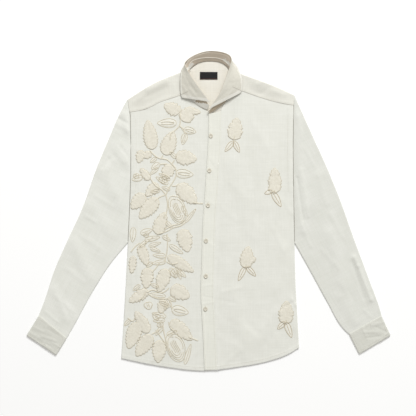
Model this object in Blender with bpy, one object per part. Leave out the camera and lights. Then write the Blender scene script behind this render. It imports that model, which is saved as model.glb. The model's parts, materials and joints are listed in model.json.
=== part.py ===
"""Embroidered linen shirt with long sleeves, laid flat with its front up and its buttons closed.

+X points to the wearer's left, +Y to the neck and +Z up. The origin is the middle of the resting
underside. Lengths are in metres. The back, the sleeves and the lower yoke rest on Z = 0.
"""

import math

import bmesh
import bpy
import numpy as np
from mathutils.geometry import delaunay_2d_cdt

# Cloth, seams and layers
WALL = 0.0012
GAP = 0.0003
HOLLOW = 0.0010
FRONT_TOP = 2 * WALL + HOLLOW
FOLD_OUT = FRONT_TOP / 2
FOLD_MID = (FRONT_TOP - WALL) / 2
TUCK = 0.012
ON_BACK = WALL + GAP
ON_FRONT = FRONT_TOP + GAP

# Body
UNDERARM_Y = 0.048
BACK_SEAM_Y = 0.235
HEM_SETBACK = 0.003
SIDES = (
    # y, right side x, left side x
    (0.284, -0.2060, 0.2172), (0.2446, -0.1996, 0.2162), (0.2053, -0.1984, 0.2155),
    (0.166, -0.1981, 0.2153), (0.1267, -0.1981, 0.2155), (0.0873, -0.1985, 0.2160),
    (0.048, -0.1995, 0.2166), (0.016, -0.2009, 0.2171), (-0.016, -0.2023, 0.2177),
    (-0.048, -0.2039, 0.2184), (-0.080, -0.2053, 0.2190), (-0.175, -0.2101, 0.2211),
    (-0.260, -0.2150, 0.2255), (-0.320, -0.2187, 0.2290), (-0.380, -0.2229, 0.2325),
)
HEM = (
    # x, y
    (-0.2229, -0.3750), (-0.1642, -0.3872), (-0.0936, -0.3992), (-0.0087, -0.4066),
    (0.0691, -0.3977), (0.1469, -0.3836), (0.1964, -0.3673), (0.2325, -0.3478),
)
SHOULDERS = {
    # x, y from the armhole to the neck
    "right": ((-0.2060, 0.2840), (-0.1418, 0.3235), (-0.0860, 0.3478), (-0.0465, 0.3610)),
    "left": ((0.2172, 0.2955), (0.1675, 0.3181), (0.1160, 0.3375), (0.0515, 0.3605)),
}
YOKE_SEAMS = {
    # x, y from the armhole to the neck
    "right": ((-0.2001, 0.2523), (-0.1591, 0.2605), (-0.1270, 0.2765), (-0.0722, 0.2957), (-0.0525, 0.3046)),
    "left": ((0.2164, 0.2700), (0.1879, 0.2745), (0.1336, 0.2893), (0.0898, 0.3046), (0.0604, 0.3161)),
}
BACK_NECK = (
    # x, y from the right shoulder to the left one
    (-0.0465, 0.3610), (-0.0398, 0.3700), (-0.0222, 0.3788), (0.0036, 0.3819),
    (0.0275, 0.3796), (0.0421, 0.3735), (0.0515, 0.3605),
)
FRONT_NECKS = {
    # x, y from the yoke seam to the front edge
    "right": ((-0.0430, 0.2840), (-0.0224, 0.2655), (-0.0030, 0.2545)),
    "left": ((0.0530, 0.2900), (0.0420, 0.2750)),
}
FLAP_BOW = {"right": -0.0055, "left": 0.0030}
YOKE_SLOPE = math.radians(25)
FRONT_TOP_Y = {"right": 0.2440, "left": 0.2585}
FRONT_CORNERS = {"right": (-0.2229, -0.3750), "left": (0.2310, -0.3485)}
FOOT_Y = -0.4045

# Button band on the left front
BAND_WIDTH = 0.0315
BAND_WALL = 0.0014
BAND_TOP_Y = 0.2502
BAND_TOP_SLOPE = 0.25
UNDERLAP = 0.006
BAND_LINE = (
    # y, x of its middle
    (0.2523, 0.0161), (0.1554, 0.0143), (0.1197, 0.0117), (0.0585, 0.0079), (-0.0282, 0.0015),
    (-0.1200, -0.0010), (-0.2067, -0.0036), (-0.2857, 0.0003), (-0.3342, 0.0028), (-0.4056, 0.0055),
)
BUTTONS = (
    # x, y
    (0.0056, 0.1914), (0.0020, 0.1029), (-0.0015, 0.0144), (-0.0066, -0.0761),
    (-0.0071, -0.1659), (-0.0079, -0.2493),
)
BUTTON_RADIUS = 0.0053
BUTTON_HEIGHT = 0.0022
BUTTON_PROFILE = (
    # share of the radius, share of the height
    (0.60, 0.0), (0.95, 0.25), (1.0, 0.7), (0.90, 1.0), (0.72, 1.0), (0.58, 0.72),
)

# Sleeves and cuffs
SLEEVE_FREE_Y = -0.080
SLEEVE_OUTER = {
    # x, y from the shoulder to the cuff seam
    "right": ((-0.2060, 0.2840), (-0.2280, 0.2421), (-0.2491, 0.1927), (-0.2846, 0.1077), (-0.3198, 0.0088),
              (-0.3588, -0.0761), (-0.3904, -0.1468), (-0.4187, -0.2317), (-0.4330, -0.2669)),
    "left": ((0.2172, 0.2955), (0.2601, 0.1998), (0.2955, 0.1220), (0.3307, 0.0371), (0.3662, -0.0618),
             (0.4085, -0.1751), (0.4368, -0.2526), (0.4409, -0.2679)),
}
SLEEVE_INNER = {
    # x, y from where the sleeve leaves the body to the cuff seam
    "right": ((-0.2053, SLEEVE_FREE_Y), (-0.2491, -0.1327), (-0.2986, -0.2105), (-0.3409, -0.2883),
              (-0.3618, -0.3253)),
    "left": ((0.2190, SLEEVE_FREE_Y), (0.2601, -0.1539), (0.3024, -0.2317), (0.3450, -0.3023),
             (0.3580, -0.3145)),
}
CUFF_ENDS = {
    # outer corner x, y, inner corner x, y
    "right": (-0.4633, -0.3151, -0.3871, -0.3661),
    "left": (0.4631, -0.3151, 0.3825, -0.3632),
}
CUFF_WALL = 0.0018
CUFF_TOP = 0.0050

# Collar, station by station from its right front end round the back to its left front end
COLLAR = (
    # foot x, y, z, fold x, y, z, leaf edge x, y, z, hang
    (-0.0030, 0.2570, 0.0037, 0.0045, 0.2765, 0.0160, -0.0683, 0.2880, 0.0070, 0.0),
    (-0.0224, 0.2655, 0.0037, -0.0090, 0.2930, 0.0185, -0.0712, 0.2990, 0.0074, 0.0),
    (-0.0430, 0.2840, 0.0037, -0.0205, 0.3085, 0.0205, -0.0722, 0.3120, 0.0078, 0.0),
    (-0.0556, 0.3240, 0.0037, -0.0365, 0.3305, 0.0215, -0.0724, 0.3300, 0.0080, 0.0),
    (-0.0510, 0.3500, 0.0039, -0.0525, 0.3560, 0.0210, -0.0704, 0.3500, 0.0074, 0.2),
    (-0.0450, 0.3650, 0.0034, -0.0612, 0.3755, 0.0195, -0.0650, 0.3655, 0.0040, 0.6),
    (-0.0222, 0.3788, 0.0018, -0.0385, 0.3945, 0.0190, -0.0330, 0.3835, 0.0009, 1.0),
    (0.0036, 0.3819, 0.0016, 0.0015, 0.4070, 0.0190, 0.0015, 0.3920, 0.0009, 1.0),
    (0.0275, 0.3796, 0.0018, 0.0450, 0.4005, 0.0190, 0.0380, 0.3865, 0.0009, 1.0),
    (0.0480, 0.3690, 0.0034, 0.0585, 0.3870, 0.0195, 0.0640, 0.3765, 0.0040, 0.6),
    (0.0545, 0.3540, 0.0039, 0.0540, 0.3660, 0.0215, 0.0760, 0.3590, 0.0074, 0.2),
    (0.0610, 0.3240, 0.0037, 0.0400, 0.3300, 0.0215, 0.0855, 0.3380, 0.0080, 0.0),
    (0.0530, 0.2900, 0.0039, 0.0325, 0.3060, 0.0205, 0.0860, 0.3220, 0.0077, 0.0),
    (0.0240, 0.2620, 0.0056, 0.0160, 0.2800, 0.0185, 0.0852, 0.3100, 0.0074, 0.0),
    (-0.0015, 0.2470, 0.0060, -0.0022, 0.2570, 0.0160, 0.0831, 0.3010, 0.0070, 0.0),
)
COLLAR_WALL = 0.0012
STAND_CLEAR = 0.0026
STEEPEST = 0.3
LEAF_CROWN = 0.0022
LEAF_LOW = 0.0012

# Label inside the back of the neck
LABEL = (0.0003, 0.3445)
LABEL_SIZE = (0.045, 0.0195, 0.0010)

# Raised embroidery
STITCH_HEIGHT = 0.0014
STITCH_RIM = 0.0012
LOBE_DEPTH = 0.26
PLAIN_SWELL = 0.15
WIDEST_SHIFT = 0.85
RIGHT_LEAVES = (
    # stem x, y, tip x, y, width, lobes on a side
    (-0.0742, 0.2511, -0.1112, 0.2702, 0.024, 3), (-0.0653, 0.2281, -0.0423, 0.2612, 0.026, 2),
    (-0.1436, 0.1580, -0.1556, 0.2306, 0.034, 1), (-0.0882, 0.2026, -0.1122, 0.1427, 0.034, 3),
    (-0.1698, 0.1541, -0.1788, 0.1223, 0.019, 1), (-0.0819, 0.1388, -0.0311, 0.1312, 0.031, 3),
    (-0.0959, 0.1172, -0.1137, 0.0802, 0.030, 2), (-0.1590, 0.0470, -0.1840, 0.0075, 0.025, 1),
    (-0.1326, 0.0292, -0.1762, -0.0193, 0.036, 2), (-0.0806, 0.0700, -0.0474, 0.0241, 0.032, 2),
    (-0.1137, -0.0014, -0.1163, -0.0358, 0.023, 1), (-0.1316, -0.0244, -0.1340, -0.0613, 0.016, 1),
    (-0.0678, -0.0486, -0.0525, -0.1034, 0.035, 3), (-0.1673, -0.0817, -0.1724, -0.1225, 0.022, 1),
    (-0.1900, -0.1136, -0.1950, -0.1582, 0.015, 1), (-0.0946, -0.1098, -0.0959, -0.1391, 0.021, 1),
    (-0.0640, -0.1327, -0.0380, -0.1544, 0.015, 1), (-0.1545, -0.1480, -0.1596, -0.1978, 0.030, 2),
    (-0.1061, -0.1544, -0.1278, -0.2080, 0.032, 2), (-0.0933, -0.1927, -0.0576, -0.2271, 0.036, 2),
    (-0.1545, -0.2029, -0.2017, -0.2322, 0.022, 3), (-0.1137, -0.2271, -0.1239, -0.2590, 0.028, 2),
    (-0.1533, -0.2755, -0.1507, -0.3128, 0.019, 1), (-0.1673, -0.2832, -0.1890, -0.2590, 0.017, 1),
    (-0.0946, -0.2819, -0.0436, -0.3291, 0.030, 3), (-0.1760, -0.3061, -0.2030, -0.3440, 0.027, 1),
    (-0.1469, -0.3202, -0.1831, -0.3686, 0.033, 2),
)
LEFT_LEAVES = (
    # stem x, y, tip x, y, width, lobes on a side
    (0.0640, 0.1809, 0.0724, 0.2370, 0.036, 3), (0.1693, 0.0458, 0.1680, 0.1095, 0.032, 2),
    (0.0938, -0.1455, 0.1017, -0.0907, 0.035, 2), (0.1960, -0.2883, 0.1990, -0.2296, 0.036, 2),
)

# Folds of the cloth
FRONT_FOLDS = (
    # from x, y, to x, y, width, height
    (-0.186, 0.245, -0.184, 0.075, 0.006, 0.0006), (0.203, 0.262, 0.203, 0.075, 0.006, 0.0006),
    (-0.150, 0.080, -0.165, -0.060, 0.016, 0.0010), (-0.060, 0.040, -0.085, -0.330, 0.022, 0.0012),
    (-0.175, -0.230, -0.140, -0.370, 0.014, 0.0012), (0.060, 0.120, 0.120, -0.060, 0.022, 0.0014),
    (0.150, 0.160, 0.130, 0.010, 0.018, 0.0012), (0.060, -0.200, 0.100, -0.370, 0.018, 0.0016),
    (0.165, -0.270, 0.090, -0.355, 0.014, 0.0022), (0.190, -0.100, 0.175, -0.250, 0.018, 0.0016),
    (0.100, -0.265, 0.165, -0.345, 0.012, 0.0014), (0.210, -0.220, 0.222, -0.300, 0.010, 0.0012),
)
SLEEVE_FOLDS = {
    # from x, y, to x, y, width, height
    "right": ((-0.214, 0.245, -0.206, 0.205, 0.010, 0.0022), (-0.228, 0.165, -0.204, 0.120, 0.014, 0.0016),
              (-0.268, 0.105, -0.225, 0.020, 0.018, 0.0020), (-0.300, 0.010, -0.245, -0.060, 0.016, 0.0012),
              (-0.345, -0.080, -0.300, -0.170, 0.018, 0.0020),
              (-0.395, -0.200, -0.360, -0.270, 0.014, 0.0018)),
    "left": ((0.228, 0.240, 0.232, 0.080, 0.010, 0.0016), (0.232, 0.060, 0.240, -0.050, 0.012, 0.0020),
             (0.285, 0.090, 0.260, 0.010, 0.018, 0.0018), (0.372, -0.120, 0.412, -0.225, 0.010, 0.0020),
             (0.310, -0.060, 0.345, -0.190, 0.018, 0.0018), (0.340, -0.220, 0.372, -0.280, 0.014, 0.0016)),
}

FOLD_CALM = 0.020

# How finely curves and walls are divided
FRONT_STEP = 0.022
BACK_STEP = 0.12
ROW_PITCH = 0.87
LINE_CLEAR = 0.4
SEAM_POINTS = 7
NECK_POINTS = 11
EDGE_POINTS = 20
FRONT_HEM_POINTS = 10
BACK_HEM_POINTS = 14
YOKE_ROWS = 3
BAND_ROWS = 34
BAND_COLUMNS = 5
SLEEVE_STATIONS = 17
ARMHOLE_STATIONS = 3
TUBE_COLUMNS = 7
COLLAR_STEPS = 2
LEAF_ROWS = 6
BUTTON_SIDES = 16
ARC_ANGLES = (0.25 * math.pi, 0.5 * math.pi, 0.75 * math.pi)
FOLD_SHARES = (0, 0.3, 0.5, 0.7, 1)

# Colours, linear
LINEN = (0.76, 0.76, 0.69)
BAND_LINEN = (0.79, 0.79, 0.71)
SHELL_BUTTON = (0.62, 0.57, 0.47)
BLACK_LABEL = (0.02, 0.02, 0.02)


def smooth(places, values, at):
    """Values of a curve drawn smoothly through (place, value) rows."""
    places, values = np.asarray(places, float), np.asarray(values, float)
    slopes = np.gradient(values, places)
    k = np.clip(np.searchsorted(places, at, side="right") - 1, 0, len(places) - 2)
    h = places[k + 1] - places[k]
    t = np.clip((at - places[k]) / h, 0, 1)
    start = (1 + 2 * t) * (1 - t) ** 2 * values[k] + t * (1 - t) ** 2 * h * slopes[k]
    end = t * t * (3 - 2 * t) * values[k + 1] + t * t * (t - 1) * h * slopes[k + 1]
    return start + end


def trace(points, count):
    """Evenly spaced points on a smooth line through the given ones."""
    points = np.asarray(points, float)
    place = np.concatenate(([0], np.cumsum(np.linalg.norm(np.diff(points, axis=0), axis=1))))
    at = np.linspace(0, place[-1], count)
    return np.stack([smooth(place, column, at) for column in points.T], axis=1)


def side_x(side, y):
    """Where the body's side fold or armhole is at a height on the shirt."""
    rows = np.array(sorted(SIDES))
    return np.interp(y, rows[:, 0], rows[:, 1 if side == "right" else 2])


def band_x(y):
    """Where the middle of the button band is at a height on the shirt."""
    rows = np.array(sorted(BAND_LINE))
    return smooth(rows[:, 0], rows[:, 1], np.asarray(y, float))


def hem_y(x):
    """Where the hem's edge is across the shirt."""
    rows = np.array(HEM)
    return smooth(rows[:, 0], rows[:, 1], np.asarray(x, float))


def fade(distance, over):
    """A soft step from 0 to 1 over a distance."""
    t = np.clip(np.asarray(distance, float) / over, 0, 1)
    return t * t * (3 - 2 * t)


def folds_height(folds, x, y):
    """Height that a list of soft folds adds at a place."""
    total = np.zeros_like(np.asarray(x, float))
    for x0, y0, x1, y1, width, height in folds:
        along = ((x - x0) * (x1 - x0) + (y - y0) * (y1 - y0)) / ((x1 - x0) ** 2 + (y1 - y0) ** 2)
        along = np.clip(along, 0, 1)
        away = np.hypot(x - x0 - along * (x1 - x0), y - y0 - along * (y1 - y0))
        total = total + height * np.exp(-(away / width) ** 2)
    return total


def leaf_outline(stem_x, stem_y, tip_x, tip_y, width, lobes):
    """A leaf with a number of lobes down each side, from its stem round its tip and back."""
    stem, tip = np.array((stem_x, stem_y)), np.array((tip_x, tip_y))
    along = tip - stem
    across = np.array((-along[1], along[0])) / np.linalg.norm(along)
    places = np.linspace(0, 1, 2 * lobes + 3)[1:-1]
    half = width / 2 * np.sin(math.pi * places ** WIDEST_SHIFT)
    between = 1 - LOBE_DEPTH if lobes > 1 else 1 + PLAIN_SWELL
    half = half * np.where(np.arange(len(places)) % 2 == 0, 1, between)
    side = [stem + along * p + across * h for p, h in zip(places, half)]
    other = [stem + along * p - across * h for p, h in zip(places, half)]
    return np.array([stem] + side + [tip] + other[::-1])


def shrunk(outline, width):
    """The upper edge of a raised leaf, a rim inside its lower one."""
    middle = (outline[0] + outline[len(outline) // 2]) / 2
    return middle + (outline - middle) * (1 - 2 * STITCH_RIM / width)


def radius_towards(outline, middle, points):
    """How far the outline is from its middle, in the direction of each point."""
    offsets = points - middle
    lengths = np.maximum(np.linalg.norm(offsets, axis=1), 1e-9)
    rays = offsets / lengths[:, None]
    reach = np.zeros(len(points))
    starts, ends = outline - middle, np.roll(outline, -1, axis=0) - middle
    for start, end in zip(starts, ends):
        edge = end - start
        turn = rays[:, 0] * edge[1] - rays[:, 1] * edge[0]
        turn = np.where(np.abs(turn) < 1e-12, 1e-12, turn)
        out = (start[0] * edge[1] - start[1] * edge[0]) / turn
        on = (start[0] * rays[:, 1] - start[1] * rays[:, 0]) / turn
        hit = (on >= -1e-6) & (on <= 1 + 1e-6) & (out > 0)
        reach = np.maximum(reach, np.where(hit, out, 0))
    return lengths / np.maximum(reach, 1e-9)


def stitch_height(leaves, x, y):
    """Height of the raised embroidery: nothing outside a leaf, full height inside its rim."""
    points = np.stack([x, y], axis=1)
    total = np.zeros(len(points))
    for row in leaves:
        outline = leaf_outline(*row)
        middle = (outline[0] + outline[len(outline) // 2]) / 2
        reach = np.linalg.norm(outline - middle, axis=1).max()
        near = np.linalg.norm(points - middle, axis=1) < reach
        if near.any():
            part = radius_towards(outline, middle, points[near])
            rise = np.clip((1 - part) / (2 * STITCH_RIM / row[4]), 0, 1) * STITCH_HEIGHT
            total[near] = np.maximum(total[near], rise)
    return total


def add_mesh(name, mesh, colour, roughness):
    """A named object with its own material and its faces turned outward."""
    shape = bmesh.new()
    shape.from_mesh(mesh)
    bmesh.ops.recalc_face_normals(shape, faces=shape.faces)
    shape.to_mesh(mesh)
    shape.free()
    material = bpy.data.materials.new(name)
    material.use_nodes = True
    shader = material.node_tree.nodes["Principled BSDF"]
    shader.inputs["Base Color"].default_value = (*colour, 1)
    shader.inputs["Roughness"].default_value = roughness
    shader.inputs["Metallic"].default_value = 0
    mesh.materials.append(material)
    thing = bpy.data.objects.new(name, mesh)
    bpy.context.scene.collection.objects.link(thing)


def add_solid(name, colour, outer, inner, faces, roughness=0.9):
    """One closed solid from a wall's outer and inner points, its faces and its open edges."""
    count = len(outer)
    sides = {}
    for face in faces:
        for a, b in zip(face, face[1:] + face[:1]):
            sides[(a, b)] = sides.get((a, b), 0) + 1
    solid = [tuple(face) for face in faces]
    solid += [tuple(v + count for v in reversed(face)) for face in faces]
    solid += [(b, a, a + count, b + count) for a, b in sides if (b, a) not in sides]
    mesh = bpy.data.meshes.new(name)
    mesh.from_pydata([tuple(p) for p in np.concatenate([outer, inner])], [], solid)
    used = {v for face in solid for v in face}
    assert len(used) == 2 * count, name + " has loose points"
    add_mesh(name, mesh, colour, roughness)


def grid_faces(rows, columns, closed=False):
    """Quads between neighbouring rows of points, with each row closed into a ring or not."""
    last = columns if closed else columns - 1
    return [[r * columns + c, r * columns + (c + 1) % columns,
             (r + 1) * columns + (c + 1) % columns, (r + 1) * columns + c]
            for r in range(rows - 1) for c in range(last)]


def inside(points, outline):
    """Which of the points lie within the outline."""
    x, y = points[:, 0], points[:, 1]
    found = np.zeros(len(points), bool)
    for (x0, y0), (x1, y1) in zip(outline, np.roll(outline, -1, axis=0)):
        crosses = (y0 > y) != (y1 > y)
        with np.errstate(divide="ignore", invalid="ignore"):
            found ^= crosses & (x < (x1 - x0) * (y - y0) / (y1 - y0) + x0)
    return found


def distance_to(lines, points):
    """Distance from each point to the nearest of several lines of points."""
    nearest = np.full(len(points), 1e9)
    for line in lines:
        for a, b in zip(line[:-1], line[1:]):
            span = b - a
            t = np.clip(((points - a) @ span) / max(span @ span, 1e-12), 0, 1)
            nearest = np.minimum(nearest, np.linalg.norm(points - a - t[:, None] * span, axis=1))
    return nearest


def flat_cloth(outline, rings, lines, step):
    """Triangles of a flat cloth piece whose outline, closed rings and open lines stay as edges."""
    outline = np.asarray(outline, float)
    fixed = [np.vstack([outline, outline[:1]])] + [np.vstack([r, r[:1]]) for r in rings] + list(lines)
    low, high = outline.min(axis=0), outline.max(axis=0)
    loose = [(x + (step / 2 if row % 2 else 0), y)
             for row, y in enumerate(np.arange(low[1] + step / 2, high[1], step * ROW_PITCH))
             for x in np.arange(low[0] + step / 4, high[0], step)]
    loose = np.array(loose)
    loose = loose[inside(loose, outline) & (distance_to(fixed, loose) > step * LINE_CLEAR)]
    points, edges = list(outline), []
    for line in fixed[1:]:
        closed = np.allclose(line[0], line[-1])
        body = line[:-1] if closed else line
        start = len(points)
        points += list(body)
        edges += [(start + i, start + i + 1) for i in range(len(body) - 1)]
        edges += [(start + len(body) - 1, start)] if closed else []
    points += list(loose)
    edges += [(i, (i + 1) % len(outline)) for i in range(len(outline))]
    result = delaunay_2d_cdt([tuple(map(float, p)) for p in points], edges, [], 0, 1e-7, False)
    vertices = np.array([tuple(v) for v in result[0]])
    faces = np.array([list(face) for face in result[2]])
    return vertices, faces[inside(vertices[faces].mean(axis=1), outline)].tolist()


def front_solid(side, outline, leaves, lines):
    """A front: a flat sheet raised by its folds and embroidery and turned round the side fold."""
    rings = []
    for row in leaves:
        ring = leaf_outline(*row)
        rings += [ring, shrunk(ring, row[4])]
    flat, faces = flat_cloth(outline, rings, lines, FRONT_STEP)
    u, v = flat.T
    out = -1 if side == "right" else 1
    centre = side_x(side, v) - out * FOLD_OUT
    past = np.where(v <= UNDERARM_Y + 1e-6, np.maximum(out * (u - centre), 0), 0)
    angle = np.minimum(past / FOLD_MID, math.pi)
    under = np.maximum(past - math.pi * FOLD_MID, 0)
    base_x = np.where(past > 0, centre + out * FOLD_MID * np.sin(angle) - out * under, u)
    tilt_x, tilt_z = out * np.sin(angle), np.cos(angle)
    level = FOLD_OUT + FOLD_MID * np.cos(angle)
    calm = fade(out * (centre - u), FOLD_CALM) * fade(out * (u - band_x(v)) - BAND_WIDTH / 2, FOLD_CALM)
    plain = np.where(past > 0, 0, folds_height(FRONT_FOLDS, u, v) * calm)
    raised = np.where(past > 0, 0, stitch_height(leaves, u, v))
    half = WALL / 2
    outer = np.stack([base_x + half * tilt_x, v, level + half * tilt_z + plain + raised], axis=1)
    inner = np.stack([base_x - half * tilt_x, v, level - half * tilt_z + plain], axis=1)
    add_solid("front_" + side, LINEN, outer, inner, faces)


def tuck_lines(side, low_y):
    """Lines along the side fold that keep its curve, and the reach of the tucked edge."""
    out = -1 if side == "right" else 1
    ys = [row[0] for row in SIDES if low_y < row[0] < UNDERARM_Y]
    ys = np.array([UNDERARM_Y] + ys + [low_y])
    turn = math.pi * FOLD_MID
    lines = [np.stack([side_x(side, ys) + out * (share * turn - FOLD_OUT), ys], axis=1)
             for share in FOLD_SHARES]
    edge = np.stack([side_x(side, ys) + out * (turn + TUCK - FOLD_OUT), ys], axis=1)
    return lines, edge


def armhole_points(side, top_y, bottom_y=UNDERARM_Y):
    """Points down an armhole between two heights."""
    ys = [top_y] + [row[0] for row in SIDES if bottom_y < row[0] < top_y] + [bottom_y]
    return np.array([(side_x(side, y), y) for y in ys])


def add_fronts():
    """Both fronts, of which the right one reaches further, under the button band."""
    for side, leaves, reach in (("right", RIGHT_LEAVES, -UNDERLAP), ("left", LEFT_LEAVES, GAP)):
        corner = FRONT_CORNERS[side]
        yoke_seam = trace(YOKE_SEAMS[side], SEAM_POINTS) - (0, GAP / math.cos(YOKE_SLOPE))
        edge_y = np.linspace(FRONT_TOP_Y[side], FOOT_Y, EDGE_POINTS)
        edge = np.stack([band_x(edge_y) + BAND_WIDTH / 2 + reach, edge_y], axis=1)
        hem_x = np.linspace(edge[-1][0], corner[0], FRONT_HEM_POINTS)[:-1]
        hem = np.stack([hem_x, hem_y(hem_x)], axis=1)
        lines, tucked = tuck_lines(side, corner[1])
        armhole = armhole_points(side, yoke_seam[0][1])
        outline = np.vstack([armhole[-2::-1], yoke_seam[1:], FRONT_NECKS[side], edge[:-1], hem,
                             [line[-1] for line in lines], tucked[::-1],
                             [line[0] for line in lines[:1:-1]]])
        front_solid(side, outline, leaves, lines)


def add_back():
    """The back, whose sides stop where the fronts' tucked edges begin."""
    edges = {}
    inset = FOLD_OUT + TUCK + GAP
    for side, (_, corner_y) in FRONT_CORNERS.items():
        out = -1 if side == "right" else 1
        ys = np.array([row[0] for row in SIDES if corner_y < row[0] < UNDERARM_Y] + [corner_y + HEM_SETBACK])
        tucked = np.stack([side_x(side, ys) - out * inset, ys], axis=1)
        top = np.array([side_x(side, UNDERARM_Y) - out * inset, UNDERARM_Y + GAP])
        armhole = armhole_points(side, BACK_SEAM_Y - GAP, UNDERARM_Y + GAP)
        edges[side] = np.vstack([armhole, [top], tucked])
    start, stop = edges["right"][-1][0], edges["left"][-1][0]
    hem_x = np.linspace(start, stop, BACK_HEM_POINTS)[1:-1]
    hem = np.stack([hem_x, hem_y(hem_x) + HEM_SETBACK], axis=1)
    outline = np.vstack([edges["right"], hem, edges["left"][::-1]])
    flat, faces = flat_cloth(outline, [], [], BACK_STEP)
    upper = np.column_stack([flat, np.full(len(flat), WALL)])
    add_solid("back", LINEN, upper, upper - (0, 0, WALL), faces)


def folded_section(start, fold, path, low_count):
    """Outer and inner points of cloth that runs out flat, turns over at a fold and comes back."""
    start, fold = np.array(start), np.array(fold)
    out = (fold - start) / np.linalg.norm(fold - start)
    hinge = fold - out * FOLD_OUT
    outer, inner = [], []
    for t in np.linspace(0, 1, low_count):
        place = start + (hinge - start) * t
        outer.append((*place, 0))
        inner.append((*place, WALL))
    for angle in ARC_ANGLES:
        for ring, radius in ((outer, FOLD_OUT), (inner, FOLD_MID - WALL / 2)):
            place = hinge + out * radius * math.sin(angle)
            ring.append((*place, FOLD_OUT - radius * math.cos(angle)))
    for place in [hinge] + list(path):
        outer.append((*place, FRONT_TOP))
        inner.append((*place, FRONT_TOP - WALL))
    return outer, inner


def yoke_flap(side):
    """Sections of the yoke from its armhole to the neck, each turned over at the shoulder."""
    shoulder = trace(SHOULDERS[side], SEAM_POINTS)
    seam = trace(YOKE_SEAMS[side], SEAM_POINTS)
    seam[0][0] = side_x(side, seam[0][1])
    low_x = np.linspace(side_x(side, BACK_SEAM_Y), shoulder[-1][0], SEAM_POINTS)
    sections = []
    for fold, end, x, share in zip(shoulder, seam, low_x, np.linspace(0, 1, SEAM_POINTS)):
        bow = np.array((FLAP_BOW[side] * share ** 3, 0))
        path = [fold + (end - fold) * t + bow * 4 * t * (1 - t) for t in np.linspace(0, 1, YOKE_ROWS + 1)[1:]]
        sections.append(folded_section((x, BACK_SEAM_Y), fold, path, YOKE_ROWS))
    return sections


def add_yoke():
    """The back yoke: one layer under the neck, turned over at both shoulders onto the front."""
    middle = []
    for x, y in trace(BACK_NECK, NECK_POINTS)[1:-1]:
        low = [(x, row_y, 0) for row_y in np.linspace(BACK_SEAM_Y, y, YOKE_ROWS)]
        middle.append((low, [(*place[:2], WALL) for place in low]))
    outer, inner, faces, before = [], [], [], []
    for section_outer, section_inner in yoke_flap("right") + middle + yoke_flap("left")[::-1]:
        column = list(range(len(outer), len(outer) + len(section_outer)))
        faces += [[a, a_next, b_next, b] for a, a_next, b, b_next
                  in zip(before, before[1:], column, column[1:])]
        outer += section_outer
        inner += section_inner
        before = column
    add_solid("yoke", LINEN, np.array(outer), np.array(inner), faces)


def sleeve_section(outer_point, inner_point, fractions, bend, lift, top, wall):
    """Outer and inner ring of a flattened tube: its top, inner fold, underside and outer fold."""
    outer_point, inner_point = np.array(outer_point), np.array(inner_point)
    along = (inner_point - outer_point) / np.linalg.norm(inner_point - outer_point)
    radius = top / 2
    start, stop = outer_point + along * radius, inner_point - along * radius
    rings = ([], [])
    for ring, reach in zip(rings, (radius, radius - wall)):
        edge = 0 if reach == radius else wall
        for t in fractions:
            place = start + (stop - start) * t + bend(t)
            between_folds = (4 * t * (1 - t)) ** 2
            ring.append((*place, top - edge + lift(*place) * between_folds))
        for angle in ARC_ANGLES:
            ring.append((*(stop + along * reach * math.sin(angle)), radius + reach * math.cos(angle)))
        for t in (1, 0.5, 0):
            place = start + (stop - start) * t + bend(t)
            ring.append((*place, edge))
        for angle in ARC_ANGLES:
            ring.append((*(start - along * reach * math.sin(angle)), radius - reach * math.cos(angle)))
    return rings


def add_tube(name, stations, bends, lift, top, wall):
    """A flattened tube through (outer point, inner point) stations."""
    outer, inner = [], []
    for (a, b), bend in zip(stations, bends):
        section = sleeve_section(a, b, np.linspace(0, 1, TUBE_COLUMNS), bend, lift, top, wall)
        outer += section[0]
        inner += section[1]
    faces = grid_faces(len(stations), len(outer) // len(stations), closed=True)
    add_solid(name, LINEN, np.array(outer), np.array(inner), faces)


def add_sleeve(side):
    """A sleeve from its armhole, close along the body's side, and out to its cuff."""
    gap = np.array((-GAP if side == "right" else GAP, 0))
    inner = [np.array((side_x(side, row[0]), row[0])) + gap for row in SIDES
             if SLEEVE_FREE_Y <= row[0] <= UNDERARM_Y]
    inner += list(trace(SLEEVE_INNER[side], SLEEVE_STATIONS)[1:] + gap)
    outer = list(trace(SLEEVE_OUTER[side], len(inner)) + gap)

    def armhole_bend(share):
        """A section's bend towards the curve of the armhole."""
        def bend(t):
            x, y = outer[0] + (inner[0] - outer[0]) * t
            return np.array((side_x(side, y) + gap[0] - x, 0)) * share
        return bend

    bends = [armhole_bend(max(0, 1 - k / ARMHOLE_STATIONS)) for k in range(len(inner))]
    add_tube("sleeve_" + side, list(zip(outer, inner)), bends,
             lambda x, y: float(folds_height(SLEEVE_FOLDS[side], x, y)), FRONT_TOP, WALL)
    return np.array([outer[-1], inner[-1]])


def add_cuff(side, seam):
    """A closed cuff, a flat ring from the sleeve's seam to its own edge."""
    ends = np.array(CUFF_ENDS[side]).reshape(2, 2)
    along = ends.mean(axis=0) - seam.mean(axis=0)
    seam = seam + GAP * along / np.linalg.norm(along)
    stations = [seam, (seam + ends) / 2, ends]
    add_tube("cuff_" + side, stations, [lambda t: 0] * 3, lambda x, y: 0.0, CUFF_TOP, CUFF_WALL)


def add_band():
    """The band that carries the buttonholes, lying over the right front's edge."""
    places = []
    for row, y in enumerate(np.linspace(BAND_TOP_Y, FOOT_Y, BAND_ROWS)):
        slope = BAND_TOP_SLOPE if row == 0 else 0
        for across in np.linspace(-BAND_WIDTH / 2, BAND_WIDTH / 2, BAND_COLUMNS):
            places.append((float(band_x(y)) + across, y + slope * across, ON_FRONT))
    low = np.array(places)
    add_solid("button_band", BAND_LINEN, low + (0, 0, BAND_WALL), low, grid_faces(BAND_ROWS, BAND_COLUMNS))


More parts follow.
